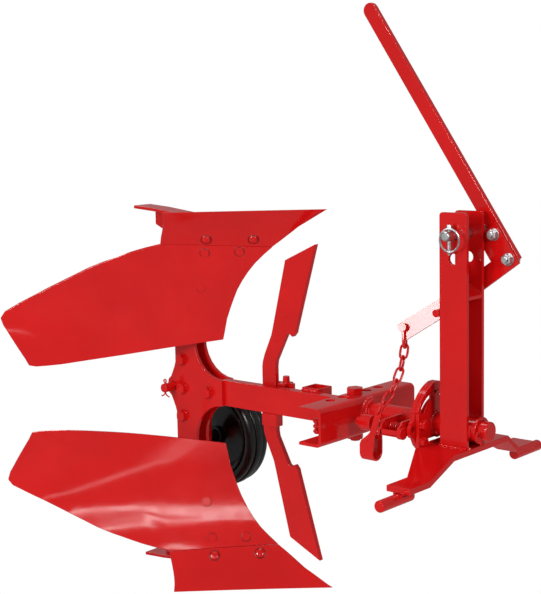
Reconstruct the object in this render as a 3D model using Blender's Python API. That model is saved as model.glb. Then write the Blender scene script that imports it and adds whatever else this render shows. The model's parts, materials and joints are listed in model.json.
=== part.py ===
"""Mounted turnover plough with one furrow: two mirrored bodies on a beam that turns half round."""

import math

import bmesh
import bpy
from mathutils import Matrix, Vector

# Sizes are given from the turning axis: +X forward to the tractor, +Y to the left, +Z up,
# with X zero half way along the mast plates. BASE then stands the plough on the floor.

# From the turning axis to the middle of the plough's footprint on the floor
FOOTPRINT_X = 0.420
FOOTPRINT_Y = 0.040
AXIS_HEIGHT = 0.404
BASE = Matrix.Translation((FOOTPRINT_X, FOOTPRINT_Y, AXIS_HEIGHT))

# Gaps between pieces and the overrun of a cutter
SEAT = 0.0003
OVERRUN = 0.004
WELD_DISTANCE = 0.00001
ROUND_STEPS = 28
SMALL_STEPS = 16
CORNER_STEPS = 5

# Hitch, to the small tractor size: mast height, link pins and the gap between the mast plates
MAST_HEIGHT = 0.460
LINK_PIN_RADIUS = 0.011
LINK_PIN_DROP = 0.0895
LINK_PIN_X = 0.006
LINK_PIN_SPREAD = 0.557
LINK_PIN_LENGTH = 0.098
LINK_PIN_CHAMFER = 0.002
TOP_PIN_RADIUS = 0.0095
TOP_PIN_CLEARANCE = 0.0004
TOP_PIN_NEAR_REACH = 0.048
TOP_PIN_FAR_REACH = 0.068
TOP_PIN_HEAD_RADIUS = 0.014
TOP_PIN_HEAD_LENGTH = 0.010
MAST_WIDTH = 0.060
MAST_PLATE = 0.008
MAST_GAP = 0.045
MAST_TOP = 0.413
MAST_FOOT = -0.0337
MAST_CORNER = 0.006
LOWER_HOLE_RADIUS = 0.0105
LOWER_HOLE_DROP = 0.0445
BRACE_FRONT_HEIGHT = 0.256
BRACE_SLOPE = math.radians(31)
BRACE_PLATE = 0.006
BRACE_LENGTH = 0.062

# Cranked crossbar under the mast
BAR_PLATE = 0.012
BAR_FRONT = 0.033
BAR_REAR = -0.0557
BAR_TAB_WIDTH = 0.052
BAR_HALF_LENGTH = 0.221
BAR_CRANK_NEAR = 0.076
BAR_CRANK_FAR = 0.116
BAR_TAB_START_NEAR = 0.156
BAR_TAB_START_FAR = 0.158
BAR_DROP = 0.0322
BAR_BEND = 0.003

# Turning axis: fixed sleeve, shaft, washer and the two stop plates
SLEEVE_RADIUS = 0.0222
SLEEVE_FRONT = 0.040
SHAFT_RADIUS = 0.019
SHAFT_CLEARANCE = 0.0003
SHAFT_FRONT = 0.0645
SHAFT_CHAMFER = 0.0015
WASHER_RADIUS = 0.026
WASHER_PLATE = 0.005
TUBE_RADIUS = 0.0225
COLLAR_RADIUS = 0.030
COLLAR_LENGTH = 0.010
STOP_RADIUS = 0.080
STOP_FRONT = -0.056
STOP_PLATE = 0.008
STOP_END_ANGLE = math.radians(22)
STOP_EAR_DEPTH = 0.042
STOP_EAR_REACH = 0.057
STOP_NOTCH_REACH = 0.034
STOP_NOTCH_DEPTH = 0.024
SLOT_RADIUS = 0.064
SLOT_WIDTH = 0.010
SLOT_START_ANGLE = math.radians(18)
SLOT_END_ANGLE = math.radians(74)
LOCK_HOLE_RADIUS = 0.0064

# Cross channel that carries the beam
CHANNEL_FRONT = -0.217
CHANNEL_DEPTH = 0.055
CHANNEL_HALF_HEIGHT = 0.0345
CHANNEL_WALL = 0.006
CHANNEL_BEND = 0.011
CHANNEL_HALF_LENGTH = 0.155
CHANNEL_HOLE_RADIUS = 0.0105
CHANNEL_HOLE_PITCH = 0.040
CHANNEL_HOLE_X = -0.256
BOLT_RADIUS = 0.010
BOLT_ACROSS_FLATS = 0.030
BOLT_HEAD_HEIGHT = 0.0125
BOLT_NUT_HEIGHT = 0.016
BOLT_TAIL = 0.004

# Beam and its turning boss
BEAM_NEAR = -0.0315
BEAM_PLATE = 0.022
BEAM_HALF_HEIGHT = 0.0282
BEAM_FRONT = -0.236
BEAM_REAR = -0.700
BOSS_RADIUS = 0.023

# Leg plates on both sides of the beam
LEG_PLATE = 0.008
LEG_FRONT = -0.668
LEG_REAR = -0.727
LEG_FILLET = 0.080
LEG_FILLET_END = -0.588
EAR_REACH = -0.752
EAR_HALF_HEIGHT = 0.022
EAR_ROOT_HEIGHT = 0.045
SWING_X = -0.735
SWING_PIN_RADIUS = 0.010
TOE_REACH = -0.776
TOE_HEIGHT = 0.031
NECK_TOP = 0.115

# Moldboard, given as a surface behind the cutting shin (heights are distances from the turning axis)
BOARD_PLATE = 0.006
BOARD_PART_GAP = 0.0004
SHARE_PLATE = 0.006
FROG_PLATE = 0.010
FROG_CLEAR = 0.0006
FROG_TOP = 0.222
FROG_FOOT = 0.372
FROG_START = 0.006
FROG_LENGTH = 0.140
FROG_COLUMNS = 8
FROG_ROWS = 15
FROG_MARGIN_CELLS = 3
CLEAR_DEPTH = 0.120
CLEAR_LIMIT = 0.500
SEAM_FRONT_HEIGHT = 0.3225
SEAM_REAR_DROP = 0.0105
SHIN_TOP = 0.115
CUTTING_DEPTH = 0.404
SURFACE_SLOPE = 0.80
SHARE_SLOPE_GAIN = 0.054
BASE_CURL = 0.20
TOP_CURL = 1.90
CURL_HEIGHT = 0.250

# Shin line: height, x and y of the leading edge from the top corner to the share point
SHIN_LINE = (
    (0.060, -0.614, -0.018),
    (SHIN_TOP, -0.598, -0.020),
    (0.162, -0.583, -0.022),
    (0.196, -0.567, -0.024),
    (0.229, -0.549, -0.024),
    (0.259, -0.528, -0.023),
    (0.287, -0.503, -0.019),
    (0.308, -0.482, -0.011),
    (SEAM_FRONT_HEIGHT, -0.466, -0.002),
    (0.366, -0.408, 0.013),
    (CUTTING_DEPTH, -0.344, 0.030),
)
# Moldboard outline behind the shin: x and height
SEAM_FRONT_X = -0.466
SEAM_REAR_X = -0.642
TAIL_TIP = (-0.936, 0.172)
TAIL_TOP = (-0.876, 0.0715)
BOARD_FOOT_EDGE = (
    (SEAM_FRONT_X, SEAM_FRONT_HEIGHT),
    (SEAM_REAR_X, SEAM_FRONT_HEIGHT + SEAM_REAR_DROP),
    (-0.700, 0.315), (-0.765, 0.287), (-0.850, 0.241), (-0.913, 0.204), (-0.932, 0.189), TAIL_TIP)
BOARD_TAIL_EDGE = (TAIL_TIP, (-0.913, 0.128), (-0.889, 0.084), TAIL_TOP)
BOARD_TOP_EDGE = (TAIL_TOP, (-0.850, 0.072), (-0.763, 0.086), (-0.680, 0.101), (-0.598, SHIN_TOP))
# Share: rear edge from the seam to the cutting edge, x and how far below the seam's rear end
SHARE_REAR_EDGE = ((-0.633, 0.015), (-0.620, 0.033), (-0.604, 0.055))
SHARE_REAR_FOOT = -0.595

# Heel strip under the near leg plate
HEEL_NEAR = -0.062
HEEL_WIDTH = 0.051
HEEL_PLATE = 0.007
HEEL_TIP = -0.821
HEEL_BEND = -0.760
HEEL_START = -0.600
HEEL_TIP_DEPTH = 0.4035
HEEL_BEND_DEPTH = 0.399
HEEL_START_DEPTH = 0.380

# Knife coulters beside the beam
COULTER_PLATE = 0.012
COULTER_OUTLINE = (
    (-0.497, 0.0005), (-0.497, 0.066), (-0.495, 0.078), (-0.489, 0.095), (-0.470, 0.136), (-0.466, 0.150),
    (-0.428, 0.298), (-0.347, 0.335), (-0.402, 0.154), (-0.404, 0.146), (-0.412, 0.137), (-0.420, 0.143),
    (-0.428, 0.140), (-0.453, 0.092), (-0.458, 0.082), (-0.460, 0.070), (-0.460, 0.0005))
CLAMP_PLATE = 0.008
CLAMP_REAR = -0.488
CLAMP_FRONT = -0.406
CLAMP_EAR_REAR = -0.442
CLAMP_EAR_FAR = 0.024
CLAMP_EAR_PLATE = 0.006
CLAMP_EAR_CORNER = 0.012
CLAMP_BLOCK_REAR = -0.481
CLAMP_BLOCK_FRONT = -0.441
CLAMP_BLOCK_HEIGHT = 0.0275
STUD_RADIUS = 0.005
STUD_X = -0.420
STUD_Y = 0.006
STUD_TOP = 0.052

# Square socket for the parking leg
SOCKET_OUTER = 0.045
SOCKET_WALL = 0.004
SOCKET_REAR = -0.388
SOCKET_TOP = 0.034
SOCKET_FOOT = -0.034

# Latch on the turning tube
LATCH_Y = -0.071
LATCH_BASE_NEAR = -0.096
LATCH_BASE_TOP = -0.0135
LATCH_PLATE = 0.006
LATCH_REAR = -0.124
LATCH_FRONT = -0.0770
LATCH_UPRIGHT_TOP = 0.018
LATCH_LIP_TOP = -0.002
PLUNGER_RADIUS = 0.006
PLUNGER_FRONT = -0.0735
HOUSING_RADIUS = 0.0155
HOUSING_REAR = -0.185
HOUSING_FRONT = -0.1565
HOUSING_TIP = -0.197
HOUSING_TIP_RADIUS = 0.008
SPRING_RADIUS = 0.0105
SPRING_WIRE = 0.0012
SPRING_TURNS = 6
SPRING_STEPS = 10
FORK_STRIP = 0.004
FORK_REAR = -0.188
FORK_FRONT = -0.157
FORK_FOOT = -0.073
FORK_TOP = 0.004
FORK_BEND = 0.008
STRAP_EYE = (-0.1325, 0.024)
STRAP_EYE_RADIUS = 0.008
STRAP_HOLE_RADIUS = 0.005
STRAP_NECK = ((-0.1585, -0.030), (-0.1585, 0.004))

# Chain from the shackle on the lever down to the strap of the latch
CHAIN_WIRE = 0.0025
CHAIN_PLAY = 0.0006
CHAIN_WIDTH = 0.020
CHAIN_COUNT = 6
CHAIN_LINE = (
    (-0.1241, -0.0100, 0.1478), (-0.1195, -0.0230, 0.1266), (-0.1170, -0.0360, 0.1052), (-0.1175, -0.0490, 0.0845),
    (-0.1205, -0.0620, 0.0640), (-0.1262, -0.0775, 0.0452), (-0.1325, -0.0889, 0.0262),
)
SHACKLE_SETBACK = 0.010
SHACKLE_LIFT = 0.006
SHACKLE_ROD = 0.0035
SHACKLE_EYE = 0.0085
SHACKLE_BOLT_RADIUS = 0.005
SHACKLE_HEAD_LENGTH = 0.004

# Release lever: bent plate outside the far mast plate, and the handle bolted to it
LEVER_NEAR = 0.036
LEVER_PLATE = 0.006
LEVER_PIVOT_X = 0.0
LEVER_PIVOT_Z = 0.267
LEVER_PIVOT_RADIUS = 0.010
LEVER_PIVOT_HEAD = 0.016
LEVER_PIVOT_HEAD_LENGTH = 0.006
LEVER_ARM_WIDTH = 0.035
LEVER_ARM_SLOPE = math.radians(35.5)
LEVER_BEND_X = -0.031
LEVER_BEND_ANGLE = math.radians(21)
LEVER_BENT_LENGTH = 0.134
LEVER_PAD_WIDTH = 0.050
LEVER_PAD_CORNER = (0.0985, 0.3215)
LEVER_PAD_LENGTH = 0.085
LEVER_LEAN = math.radians(34.3)
HANDLE_WIDTH = 0.030
HANDLE_PLATE = 0.012
HANDLE_FOOT = (0.086, 0.318)
HANDLE_LENGTH = 0.597
REST_BAR_RADIUS = 0.0075
REST_BAR_NEAR = -0.033
REST_BAR_Z = 0.221

# Gauge wheel that swings over with the plough
BOSS_FAR_RADIUS = 0.018
BOSS_FAR_END = 0.0535
SWING_PIN_NEAR = -0.072
SWING_ARM_PLATE = 0.010
SWING_ARM_RADIUS = 0.024
WHEEL_DROP = 0.140
WHEEL_RADIUS = 0.120
WHEEL_NEAR = 0.085
WHEEL_WIDTH = 0.055
RIM_RADIUS = 0.092
RIM_WALL = 0.006
HUB_RADIUS = 0.021
AXLE_RADIUS = 0.010
AXLE_END = 0.006
AXLE_CAP_RADIUS = 0.015
RIB_DEPTH = 0.005
RIB_COUNT = 3

RED = (0.60, 0.012, 0.014, 1.0)
STEEL = (0.62, 0.63, 0.64, 1.0)
BLACK = (0.012, 0.012, 0.013, 1.0)

for old in list(bpy.data.objects):
    bpy.data.objects.remove(old, do_unlink=True)

plough = bpy.data.collections.new("turnover_plough")
bpy.context.scene.collection.children.link(plough)
cutters = bpy.data.collections.new("cutters")
bpy.context.scene.collection.children.link(cutters)


def frame_empty(name, location, parent=None):
    empty = bpy.data.objects.new(name, None)
    empty.location = BASE @ Vector(location)
    plough.objects.link(empty)
    if parent is not None:
        empty.parent = parent
        empty.matrix_parent_inverse = parent.matrix_world.inverted()
    bpy.context.view_layer.update()
    return empty


def finish_of(name, color, metallic, roughness):
    finish = bpy.data.materials.new(name)
    finish.use_nodes = True
    shader = finish.node_tree.nodes["Principled BSDF"]
    shader.inputs["Base Color"].default_value = color
    shader.inputs["Metallic"].default_value = metallic
    shader.inputs["Roughness"].default_value = roughness
    finish.diffuse_color = color
    return finish


LOOKS = {
    "red": (RED, 0.0, 0.25),
    "steel": (STEEL, 1.0, 0.35),
    "black": (BLACK, 0.0, 0.30),
}


def place(name, mesh, carrier, look, matrix=Matrix.Identity(4)):
    """Make an object of a mesh, with its own material, hung on its body's empty."""
    piece = bpy.data.objects.new(name, mesh)
    color, metallic, roughness = LOOKS[look]
    mesh.materials.clear()
    mesh.materials.append(finish_of(name + "_finish", color, metallic, roughness))
    plough.objects.link(piece)
    piece.matrix_world = BASE @ matrix
    piece.parent = carrier
    piece.matrix_parent_inverse = carrier.matrix_world.inverted()
    return piece


def as_cutter(name, mesh, matrix=Matrix.Identity(4)):
    cutter = bpy.data.objects.new(name, mesh)
    cutters.objects.link(cutter)
    cutter.matrix_world = BASE @ matrix
    cutter.hide_render = True
    cutter.display_type = "WIRE"
    return cutter


def carve(piece, cutter, operation="DIFFERENCE"):
    cut = piece.modifiers.new(cutter.name, "BOOLEAN")
    cut.operation = operation
    cut.object = cutter


def face_outwards(shape):
    """Make all faces agree and point out of the solid."""
    bmesh.ops.recalc_face_normals(shape, faces=shape.faces)
    if shape.calc_volume(signed=True) < 0:
        bmesh.ops.reverse_faces(shape, faces=shape.faces)


def mesh_from_curve(curve, name):
    """Turn a filled or bevelled curve into a closed mesh with welded caps."""
    holder = bpy.data.objects.new(name + "_curve", curve)
    plough.objects.link(holder)
    bpy.context.view_layer.update()
    graph = bpy.context.evaluated_depsgraph_get()
    mesh = bpy.data.meshes.new_from_object(holder.evaluated_get(graph))
    bpy.data.objects.remove(holder, do_unlink=True)
    shape = bmesh.new()
    shape.from_mesh(mesh)
    bmesh.ops.remove_doubles(shape, verts=shape.verts, dist=WELD_DISTANCE)
    face_outwards(shape)
    shape.to_mesh(mesh)
    shape.free()
    return mesh


PLANES = {
    # Local x, y and z of a flat outline in each plane
    "XZ": Matrix(((1, 0, 0, 0), (0, 0, -1, 0), (0, 1, 0, 0), (0, 0, 0, 1))),
    "YZ": Matrix(((0, 0, 1, 0), (1, 0, 0, 0), (0, 1, 0, 0), (0, 0, 0, 1))),
    "XY": Matrix(((1, 0, 0, 0), (0, 1, 0, 0), (0, 0, 1, 0), (0, 0, 0, 1))),
}
NORMALS = {"XZ": Vector((0, 1, 0)), "YZ": Vector((1, 0, 0)), "XY": Vector((0, 0, 1))}


def plate_mesh(name, loops, thickness):
    """A flat outline, with holes as further loops, as thick as the plate."""
    curve = bpy.data.curves.new(name, "CURVE")
    curve.dimensions = "2D"
    curve.fill_mode = "BOTH"
    curve.extrude = thickness / 2
    curve.render_resolution_u = 0
    for loop in loops:
        spline = curve.splines.new("POLY")
        spline.points.add(len(loop) - 1)
        for point, (across, up) in zip(spline.points, loop):
            point.co = (across, up, 0, 1)
        spline.use_cyclic_u = True
    return mesh_from_curve(curve, name)


def plate_matrix(plane, low, high):
    return Matrix.Translation(NORMALS[plane] * (low + high) / 2) @ PLANES[plane]


def plate(name, loops, plane, low, high, carrier, look="red"):
    mesh = plate_mesh(name, loops, high - low)
    return place(name, mesh, carrier, look, plate_matrix(plane, low, high))


def plate_cutter(name, loops, plane, low, high):
    return as_cutter(name, plate_mesh(name, loops, high - low), plate_matrix(plane, low, high))


def arc(center, radius, start, end, steps=CORNER_STEPS):
    """Points on an arc, both ends included."""
    points = []
    for step in range(steps + 1):
        angle = start + (end - start) * step / steps
        points.append((center[0] + radius * math.cos(angle), center[1] + radius * math.sin(angle)))
    return points


def circle(center, radius, steps=ROUND_STEPS):
    return arc(center, radius, 0, math.tau, steps)[:-1]


def rounded(points, radii, steps=CORNER_STEPS):
    """Round each corner of an outline by its own radius."""
    loop = []
    count = len(points)
    for index, (point, radius) in enumerate(zip(points, radii)):
        if radius == 0:
            loop.append(point)
            continue
        corner = Vector(point)
        before = (Vector(points[index - 1]) - corner).normalized()
        after = (Vector(points[(index + 1) % count]) - corner).normalized()
        half = before.angle(after) / 2
        reach = radius / math.tan(half)
        middle = corner + (before + after).normalized() * radius / math.sin(half)
        start = corner + before * reach - middle
        turn = start.angle_signed(corner + after * reach - middle)
        for step in range(steps + 1):
            spun = Matrix.Rotation(-turn * step / steps, 2) @ start
            loop.append(tuple(middle + spun))
    return loop


def box_outline(left, right, foot, top):
    return [(left, foot), (right, foot), (right, top), (left, top)]


def mirrored(loop):
    """The same outline on the other side of the turning axis."""
    return [(across, -up) for across, up in reversed(loop)]


AXIS_TURNS = {
    "X": Matrix.Rotation(math.pi / 2, 4, "Y"),
    "Y": Matrix.Rotation(-math.pi / 2, 4, "X"),
    "Z": Matrix.Identity(4),
}


def turned_mesh(name, profile, steps=ROUND_STEPS):
    """Turn a profile of (radius, place along the axis) into a closed solid."""
    shape = bmesh.new()
    rows = [shape.verts.new((radius, 0, along)) for radius, along in profile]
    edges = [shape.edges.new((first, second)) for first, second in zip(rows, rows[1:])]
    if profile[0][0] > 0 and profile[-1][0] > 0:
        edges.append(shape.edges.new((rows[-1], rows[0])))
    bmesh.ops.spin(shape, geom=rows + edges, cent=(0, 0, 0), axis=(0, 0, 1), angle=math.tau,
                   steps=steps, use_merge=True)
    bmesh.ops.remove_doubles(shape, verts=shape.verts, dist=WELD_DISTANCE)
    face_outwards(shape)
    mesh = bpy.data.meshes.new(name)
    shape.to_mesh(mesh)
    shape.free()
    return mesh


def turned(name, profile, axis, center, carrier, look="red", steps=ROUND_STEPS):
    mesh = turned_mesh(name, profile, steps)
    mesh.shade_smooth()
    mesh.set_sharp_from_angle(angle=math.radians(35))
    return place(name, mesh, carrier, look, Matrix.Translation(center) @ AXIS_TURNS[axis])


def rod_profile(radius, start, end, chamfer=0.0):
    if chamfer == 0:
        return [(0, start), (radius, start), (radius, end), (0, end)]
    return [(0, start), (radius - chamfer, start), (radius, start + chamfer),
            (radius, end - chamfer), (radius - chamfer, end), (0, end)]


def ring_profile(inner, outer, start, end):
    return [(inner, start), (outer, start), (outer, end), (inner, end)]


def rod_cutter(name, radius, axis, center, start, end, steps=SMALL_STEPS):
    mesh = turned_mesh(name, rod_profile(radius, start, end), steps)
    return as_cutter(name, mesh, Matrix.Translation(center) @ AXIS_TURNS[axis])


headstock = frame_empty("headstock", (0, 0, 0))
turnover = frame_empty("turnover", (0, 0, 0), headstock)
release_lever = frame_empty("release_lever", (LEVER_PIVOT_X, 0, LEVER_PIVOT_Z), headstock)
swing_arm = frame_empty("swing_arm", (SWING_X, 0, 0), turnover)
gauge_wheel = frame_empty("gauge_wheel", (SWING_X, 0, -WHEEL_DROP), swing_arm)

# Mast: two plates on edge, the top link between them
MAST_INNER = MAST_GAP / 2
MAST_OUTER = MAST_INNER + MAST_PLATE
TOP_PIN_HEIGHT = MAST_HEIGHT - LINK_PIN_DROP
mast_outline = rounded(box_outline(-MAST_WIDTH / 2, MAST_WIDTH / 2, MAST_FOOT, MAST_TOP),
                       (0, 0, MAST_CORNER, MAST_CORNER))
mast_holes = [
    circle((0, TOP_PIN_HEIGHT), TOP_PIN_RADIUS + TOP_PIN_CLEARANCE),
    circle((0, TOP_PIN_HEIGHT - LOWER_HOLE_DROP), LOWER_HOLE_RADIUS),
]
plate("mast_plate_near", [mast_outline] + mast_holes, "XZ", -MAST_OUTER, -MAST_INNER, headstock)
pivot_hole = circle((LEVER_PIVOT_X, LEVER_PIVOT_Z), LEVER_PIVOT_RADIUS + SEAT)
plate("mast_plate_far", [mast_outline] + mast_holes + [pivot_hole], "XZ", MAST_INNER, MAST_OUTER, headstock)

# Sloping brace between the mast plates
brace_front = MAST_WIDTH / 2
brace_run = BRACE_LENGTH * math.cos(BRACE_SLOPE)
brace_rise = BRACE_LENGTH * math.sin(BRACE_SLOPE)
brace_lift = BRACE_PLATE / math.cos(BRACE_SLOPE)
brace_outline = [
    (brace_front, BRACE_FRONT_HEIGHT - brace_lift),
    (brace_front, BRACE_FRONT_HEIGHT),
    (brace_front - brace_run, BRACE_FRONT_HEIGHT + brace_rise),
    (brace_front - brace_run, BRACE_FRONT_HEIGHT + brace_rise - brace_lift),
]
plate("mast_brace", [brace_outline], "XZ", -MAST_INNER + SEAT, MAST_INNER - SEAT, headstock)

# Top link pin with its head on the far side
top_pin_start = -(MAST_OUTER + TOP_PIN_NEAR_REACH - MAST_PLATE)
top_pin_shoulder = TOP_PIN_FAR_REACH
turned("top_link_pin", [
    (0, top_pin_start),
    (TOP_PIN_RADIUS - LINK_PIN_CHAMFER, top_pin_start),
    (TOP_PIN_RADIUS, top_pin_start + LINK_PIN_CHAMFER),
    (TOP_PIN_RADIUS, top_pin_shoulder),
    (TOP_PIN_HEAD_RADIUS, top_pin_shoulder),
    (TOP_PIN_HEAD_RADIUS, top_pin_shoulder + TOP_PIN_HEAD_LENGTH),
    (0, top_pin_shoulder + TOP_PIN_HEAD_LENGTH),
], "Y", (0, 0, TOP_PIN_HEIGHT), headstock, "steel", SMALL_STEPS + CORNER_STEPS)

# Crossbar: bent from one plate, wide under the mast and narrow at the pins
BAR_TOP = MAST_FOOT - SEAT
BAR_TAB_TOP = BAR_TOP - BAR_DROP
bar_side = [
    (-BAR_HALF_LENGTH, BAR_TAB_TOP), (-BAR_TAB_START_NEAR, BAR_TAB_TOP), (-BAR_CRANK_NEAR, BAR_TOP),
    (BAR_CRANK_FAR, BAR_TOP), (BAR_TAB_START_FAR, BAR_TAB_TOP), (BAR_HALF_LENGTH, BAR_TAB_TOP),
]


def lowered(line, drop):
    return [(across, up - drop) for across, up in line]


bar_profile = bar_side + list(reversed(lowered(bar_side, BAR_PLATE)))
crossbar = plate("crossbar", [bar_profile], "YZ", BAR_REAR, BAR_FRONT, headstock)
bar_tab_rear = BAR_FRONT - BAR_TAB_WIDTH
for side, crank_start, tab_start in ((-1, BAR_CRANK_NEAR, BAR_TAB_START_NEAR),
                                     (1, BAR_CRANK_FAR, BAR_TAB_START_FAR)):
    taper = [
        (BAR_REAR - OVERRUN, side * crank_start), (BAR_REAR, side * crank_start),
        (bar_tab_rear, side * tab_start), (bar_tab_rear, side * (BAR_HALF_LENGTH + OVERRUN)),
        (BAR_REAR - OVERRUN, side * (BAR_HALF_LENGTH + OVERRUN)),
    ]
    name = "bar_taper_near" if side < 0 else "bar_taper_far"
    carve(crossbar, plate_cutter(name, [taper], "XY", BAR_TAB_TOP - BAR_PLATE - OVERRUN, BAR_TOP + OVERRUN))

# Lower link pins, welded under the ends of the crossbar
for name, side in (("link_pin_near", -1), ("link_pin_far", 1)):
    outer = LINK_PIN_SPREAD / 2
    start, end = sorted((side * outer, side * (outer - LINK_PIN_LENGTH)))
    turned(name, rod_profile(LINK_PIN_RADIUS, start, end, LINK_PIN_CHAMFER), "Y",
           (LINK_PIN_X, 0, BAR_TAB_TOP - BAR_PLATE - LINK_PIN_RADIUS - SEAT), headstock)

# Fixed sleeve between the mast plates, and the stop plates behind them
BORE_RADIUS = SHAFT_RADIUS + SHAFT_CLEARANCE
SLEEVE_REAR = STOP_FRONT + SEAT
turned("pivot_sleeve", ring_profile(BORE_RADIUS, SLEEVE_RADIUS, SLEEVE_REAR, SLEEVE_FRONT), "X",
       (0, 0, 0), headstock)


def stop_outline(ear_depth):
    """A segment over the axis with an ear low down on each side."""
    right = arc((0, 0), STOP_RADIUS, -STOP_END_ANGLE, math.pi + STOP_END_ANGLE, 3 * SMALL_STEPS // 2)
    foot = [(-STOP_EAR_REACH, -ear_depth), (-STOP_NOTCH_REACH, -ear_depth), (-STOP_NOTCH_REACH, -STOP_NOTCH_DEPTH)]
    return right + foot + [(-across, up) for across, up in reversed(foot)]


def slot_outline(side):
    """A curved slot on one side, round the turning axis."""
    half = SLOT_WIDTH / 2
    start, end = SLOT_START_ANGLE, SLOT_END_ANGLE
    outer = arc((0, 0), SLOT_RADIUS + half, start, end, SMALL_STEPS // 2)
    inner = arc((0, 0), SLOT_RADIUS - half, end, start, SMALL_STEPS // 2)
    loop = outer + inner
    return [(side * across, up) for across, up in loop]


STOP_REAR = STOP_FRONT - STOP_PLATE
LOCK_FRONT = STOP_REAR - SEAT
LOCK_REAR = LOCK_FRONT - STOP_PLATE
shaft_hole = circle((0, 0), BORE_RADIUS)
lock_holes = [circle((side * LATCH_Y, 0), LOCK_HOLE_RADIUS, SMALL_STEPS) for side in (-1, 1)]
plate("stop_plate", [stop_outline(STOP_EAR_DEPTH), shaft_hole, slot_outline(-1), slot_outline(1)] + lock_holes,
      "YZ", STOP_REAR, STOP_FRONT, headstock)
plate("lock_plate", [stop_outline(STOP_EAR_DEPTH), shaft_hole, slot_outline(-1), slot_outline(1)] + lock_holes,
      "YZ", LOCK_REAR, LOCK_FRONT, headstock)

# Pivot pin and spacer that carry the lever on the far mast plate
LEVER_FAR = LEVER_NEAR + LEVER_PLATE
turned("lever_pivot_pin", [
    (0, MAST_INNER), (LEVER_PIVOT_RADIUS, MAST_INNER),
    (LEVER_PIVOT_RADIUS, LEVER_FAR + SEAT), (LEVER_PIVOT_HEAD, LEVER_FAR + SEAT),
    (LEVER_PIVOT_HEAD, LEVER_FAR + LEVER_PIVOT_HEAD_LENGTH), (0, LEVER_FAR + LEVER_PIVOT_HEAD_LENGTH),
], "Y", (LEVER_PIVOT_X, 0, LEVER_PIVOT_Z), headstock, "red", SMALL_STEPS)
spacer_inner = LEVER_PIVOT_RADIUS + SEAT
turned("lever_spacer", ring_profile(spacer_inner, LEVER_PIVOT_HEAD, MAST_OUTER + SEAT, LEVER_NEAR - SEAT), "Y",
       (LEVER_PIVOT_X, 0, LEVER_PIVOT_Z), headstock, "red", SMALL_STEPS)

# Lever plate: an angle piece square to the handle, its rear arm bent in towards the chain
arm_dir = Vector((math.cos(LEVER_ARM_SLOPE), math.sin(LEVER_ARM_SLOPE)))
arm_up = Vector((-arm_dir.y, arm_dir.x))
pad_dir = Vector((-math.sin(LEVER_LEAN), math.cos(LEVER_LEAN)))
pad_in = Vector((-pad_dir.y, pad_dir.x))
half_arm = arm_up * LEVER_ARM_WIDTH / 2
pivot_point = Vector((LEVER_PIVOT_X, LEVER_PIVOT_Z))
bend_point = pivot_point + arm_dir * (LEVER_BEND_X - LEVER_PIVOT_X) / arm_dir.x


def crossing(point, direction, other, other_direction):
    """Where two lines in the plane meet."""
    turn = direction.cross(other_direction)
    return point + direction * ((other - point).cross(other_direction) / turn)


pad_corner = Vector(LEVER_PAD_CORNER)
pad_top = pad_corner + pad_dir * LEVER_PAD_LENGTH
pad_top_inner = pad_top + pad_in * LEVER_PAD_WIDTH
pad_foot = crossing(pad_corner, pad_dir, pivot_point - half_arm, arm_dir)
inner_corner = crossing(pad_top_inner, pad_dir, pivot_point + half_arm, arm_dir)
lever_outline = [tuple(point) for point in (
    bend_point - half_arm, pad_foot, pad_top, pad_top_inner, inner_corner, bend_point + half_arm)]
pivot_hole = circle((LEVER_PIVOT_X, LEVER_PIVOT_Z), LEVER_PIVOT_RADIUS + SEAT, SMALL_STEPS)
plate("lever_plate", [lever_outline, pivot_hole], "XZ", LEVER_NEAR, LEVER_FAR, release_lever)

# The bent arm in space: where it starts, which way it runs, and the way square to its face
lever_middle = (LEVER_NEAR + LEVER_FAR) / 2
bend_spot = Vector((bend_point.x, lever_middle, bend_point.y))
flat_run = Vector((-arm_dir.x, 0, -arm_dir.y))
bent_run = flat_run * math.cos(LEVER_BEND_ANGLE) - Vector((0, 1, 0)) * math.sin(LEVER_BEND_ANGLE)
bent_face = -(Vector((0, 1, 0)) * math.cos(LEVER_BEND_ANGLE) + flat_run * math.sin(LEVER_BEND_ANGLE))
bent_up = Vector((arm_up.x, 0, arm_up.y))
arm_frame = Matrix((
    (bent_run.x, bent_up.x, bent_face.x, bend_spot.x), (bent_run.y, bent_up.y, bent_face.y, bend_spot.y),
    (bent_run.z, bent_up.z, bent_face.z, bend_spot.z), (0, 0, 0, 1)))
arm_start = LEVER_PLATE * math.tan(LEVER_BEND_ANGLE / 2) + SEAT
bolt_along = LEVER_BENT_LENGTH - SHACKLE_SETBACK
arm_loops = [
    box_outline(arm_start, LEVER_BENT_LENGTH, -LEVER_ARM_WIDTH / 2, LEVER_ARM_WIDTH / 2),
    circle((bolt_along, SHACKLE_LIFT), SHACKLE_BOLT_RADIUS + SEAT, SMALL_STEPS),
]
place("lever_arm", plate_mesh("lever_arm", arm_loops, LEVER_PLATE), release_lever, "red", arm_frame)

# Rest bar across the rear edges of the mast, cut to the slant of the arm
rest_mesh = turned_mesh("lever_rest_bar", rod_profile(REST_BAR_RADIUS, REST_BAR_NEAR, LEVER_FAR), SMALL_STEPS)
rest_x = -MAST_WIDTH / 2 - SEAT - REST_BAR_RADIUS
rest_mesh.transform(Matrix.Translation((rest_x, 0, REST_BAR_Z)) @ AXIS_TURNS["Y"])
rest_shape = bmesh.new()
rest_shape.from_mesh(rest_mesh)
everything = rest_shape.verts[:] + rest_shape.edges[:] + rest_shape.faces[:]
near_face = bend_spot + bent_face * (LEVER_PLATE / 2 + SEAT)
bmesh.ops.bisect_plane(rest_shape, geom=everything, plane_co=near_face, plane_no=-bent_face, clear_outer=True)
bmesh.ops.holes_fill(rest_shape, edges=rest_shape.edges[:])
face_outwards(rest_shape)
rest_shape.to_mesh(rest_mesh)
rest_shape.free()
place("lever_rest_bar", rest_mesh, release_lever, "red")

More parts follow.
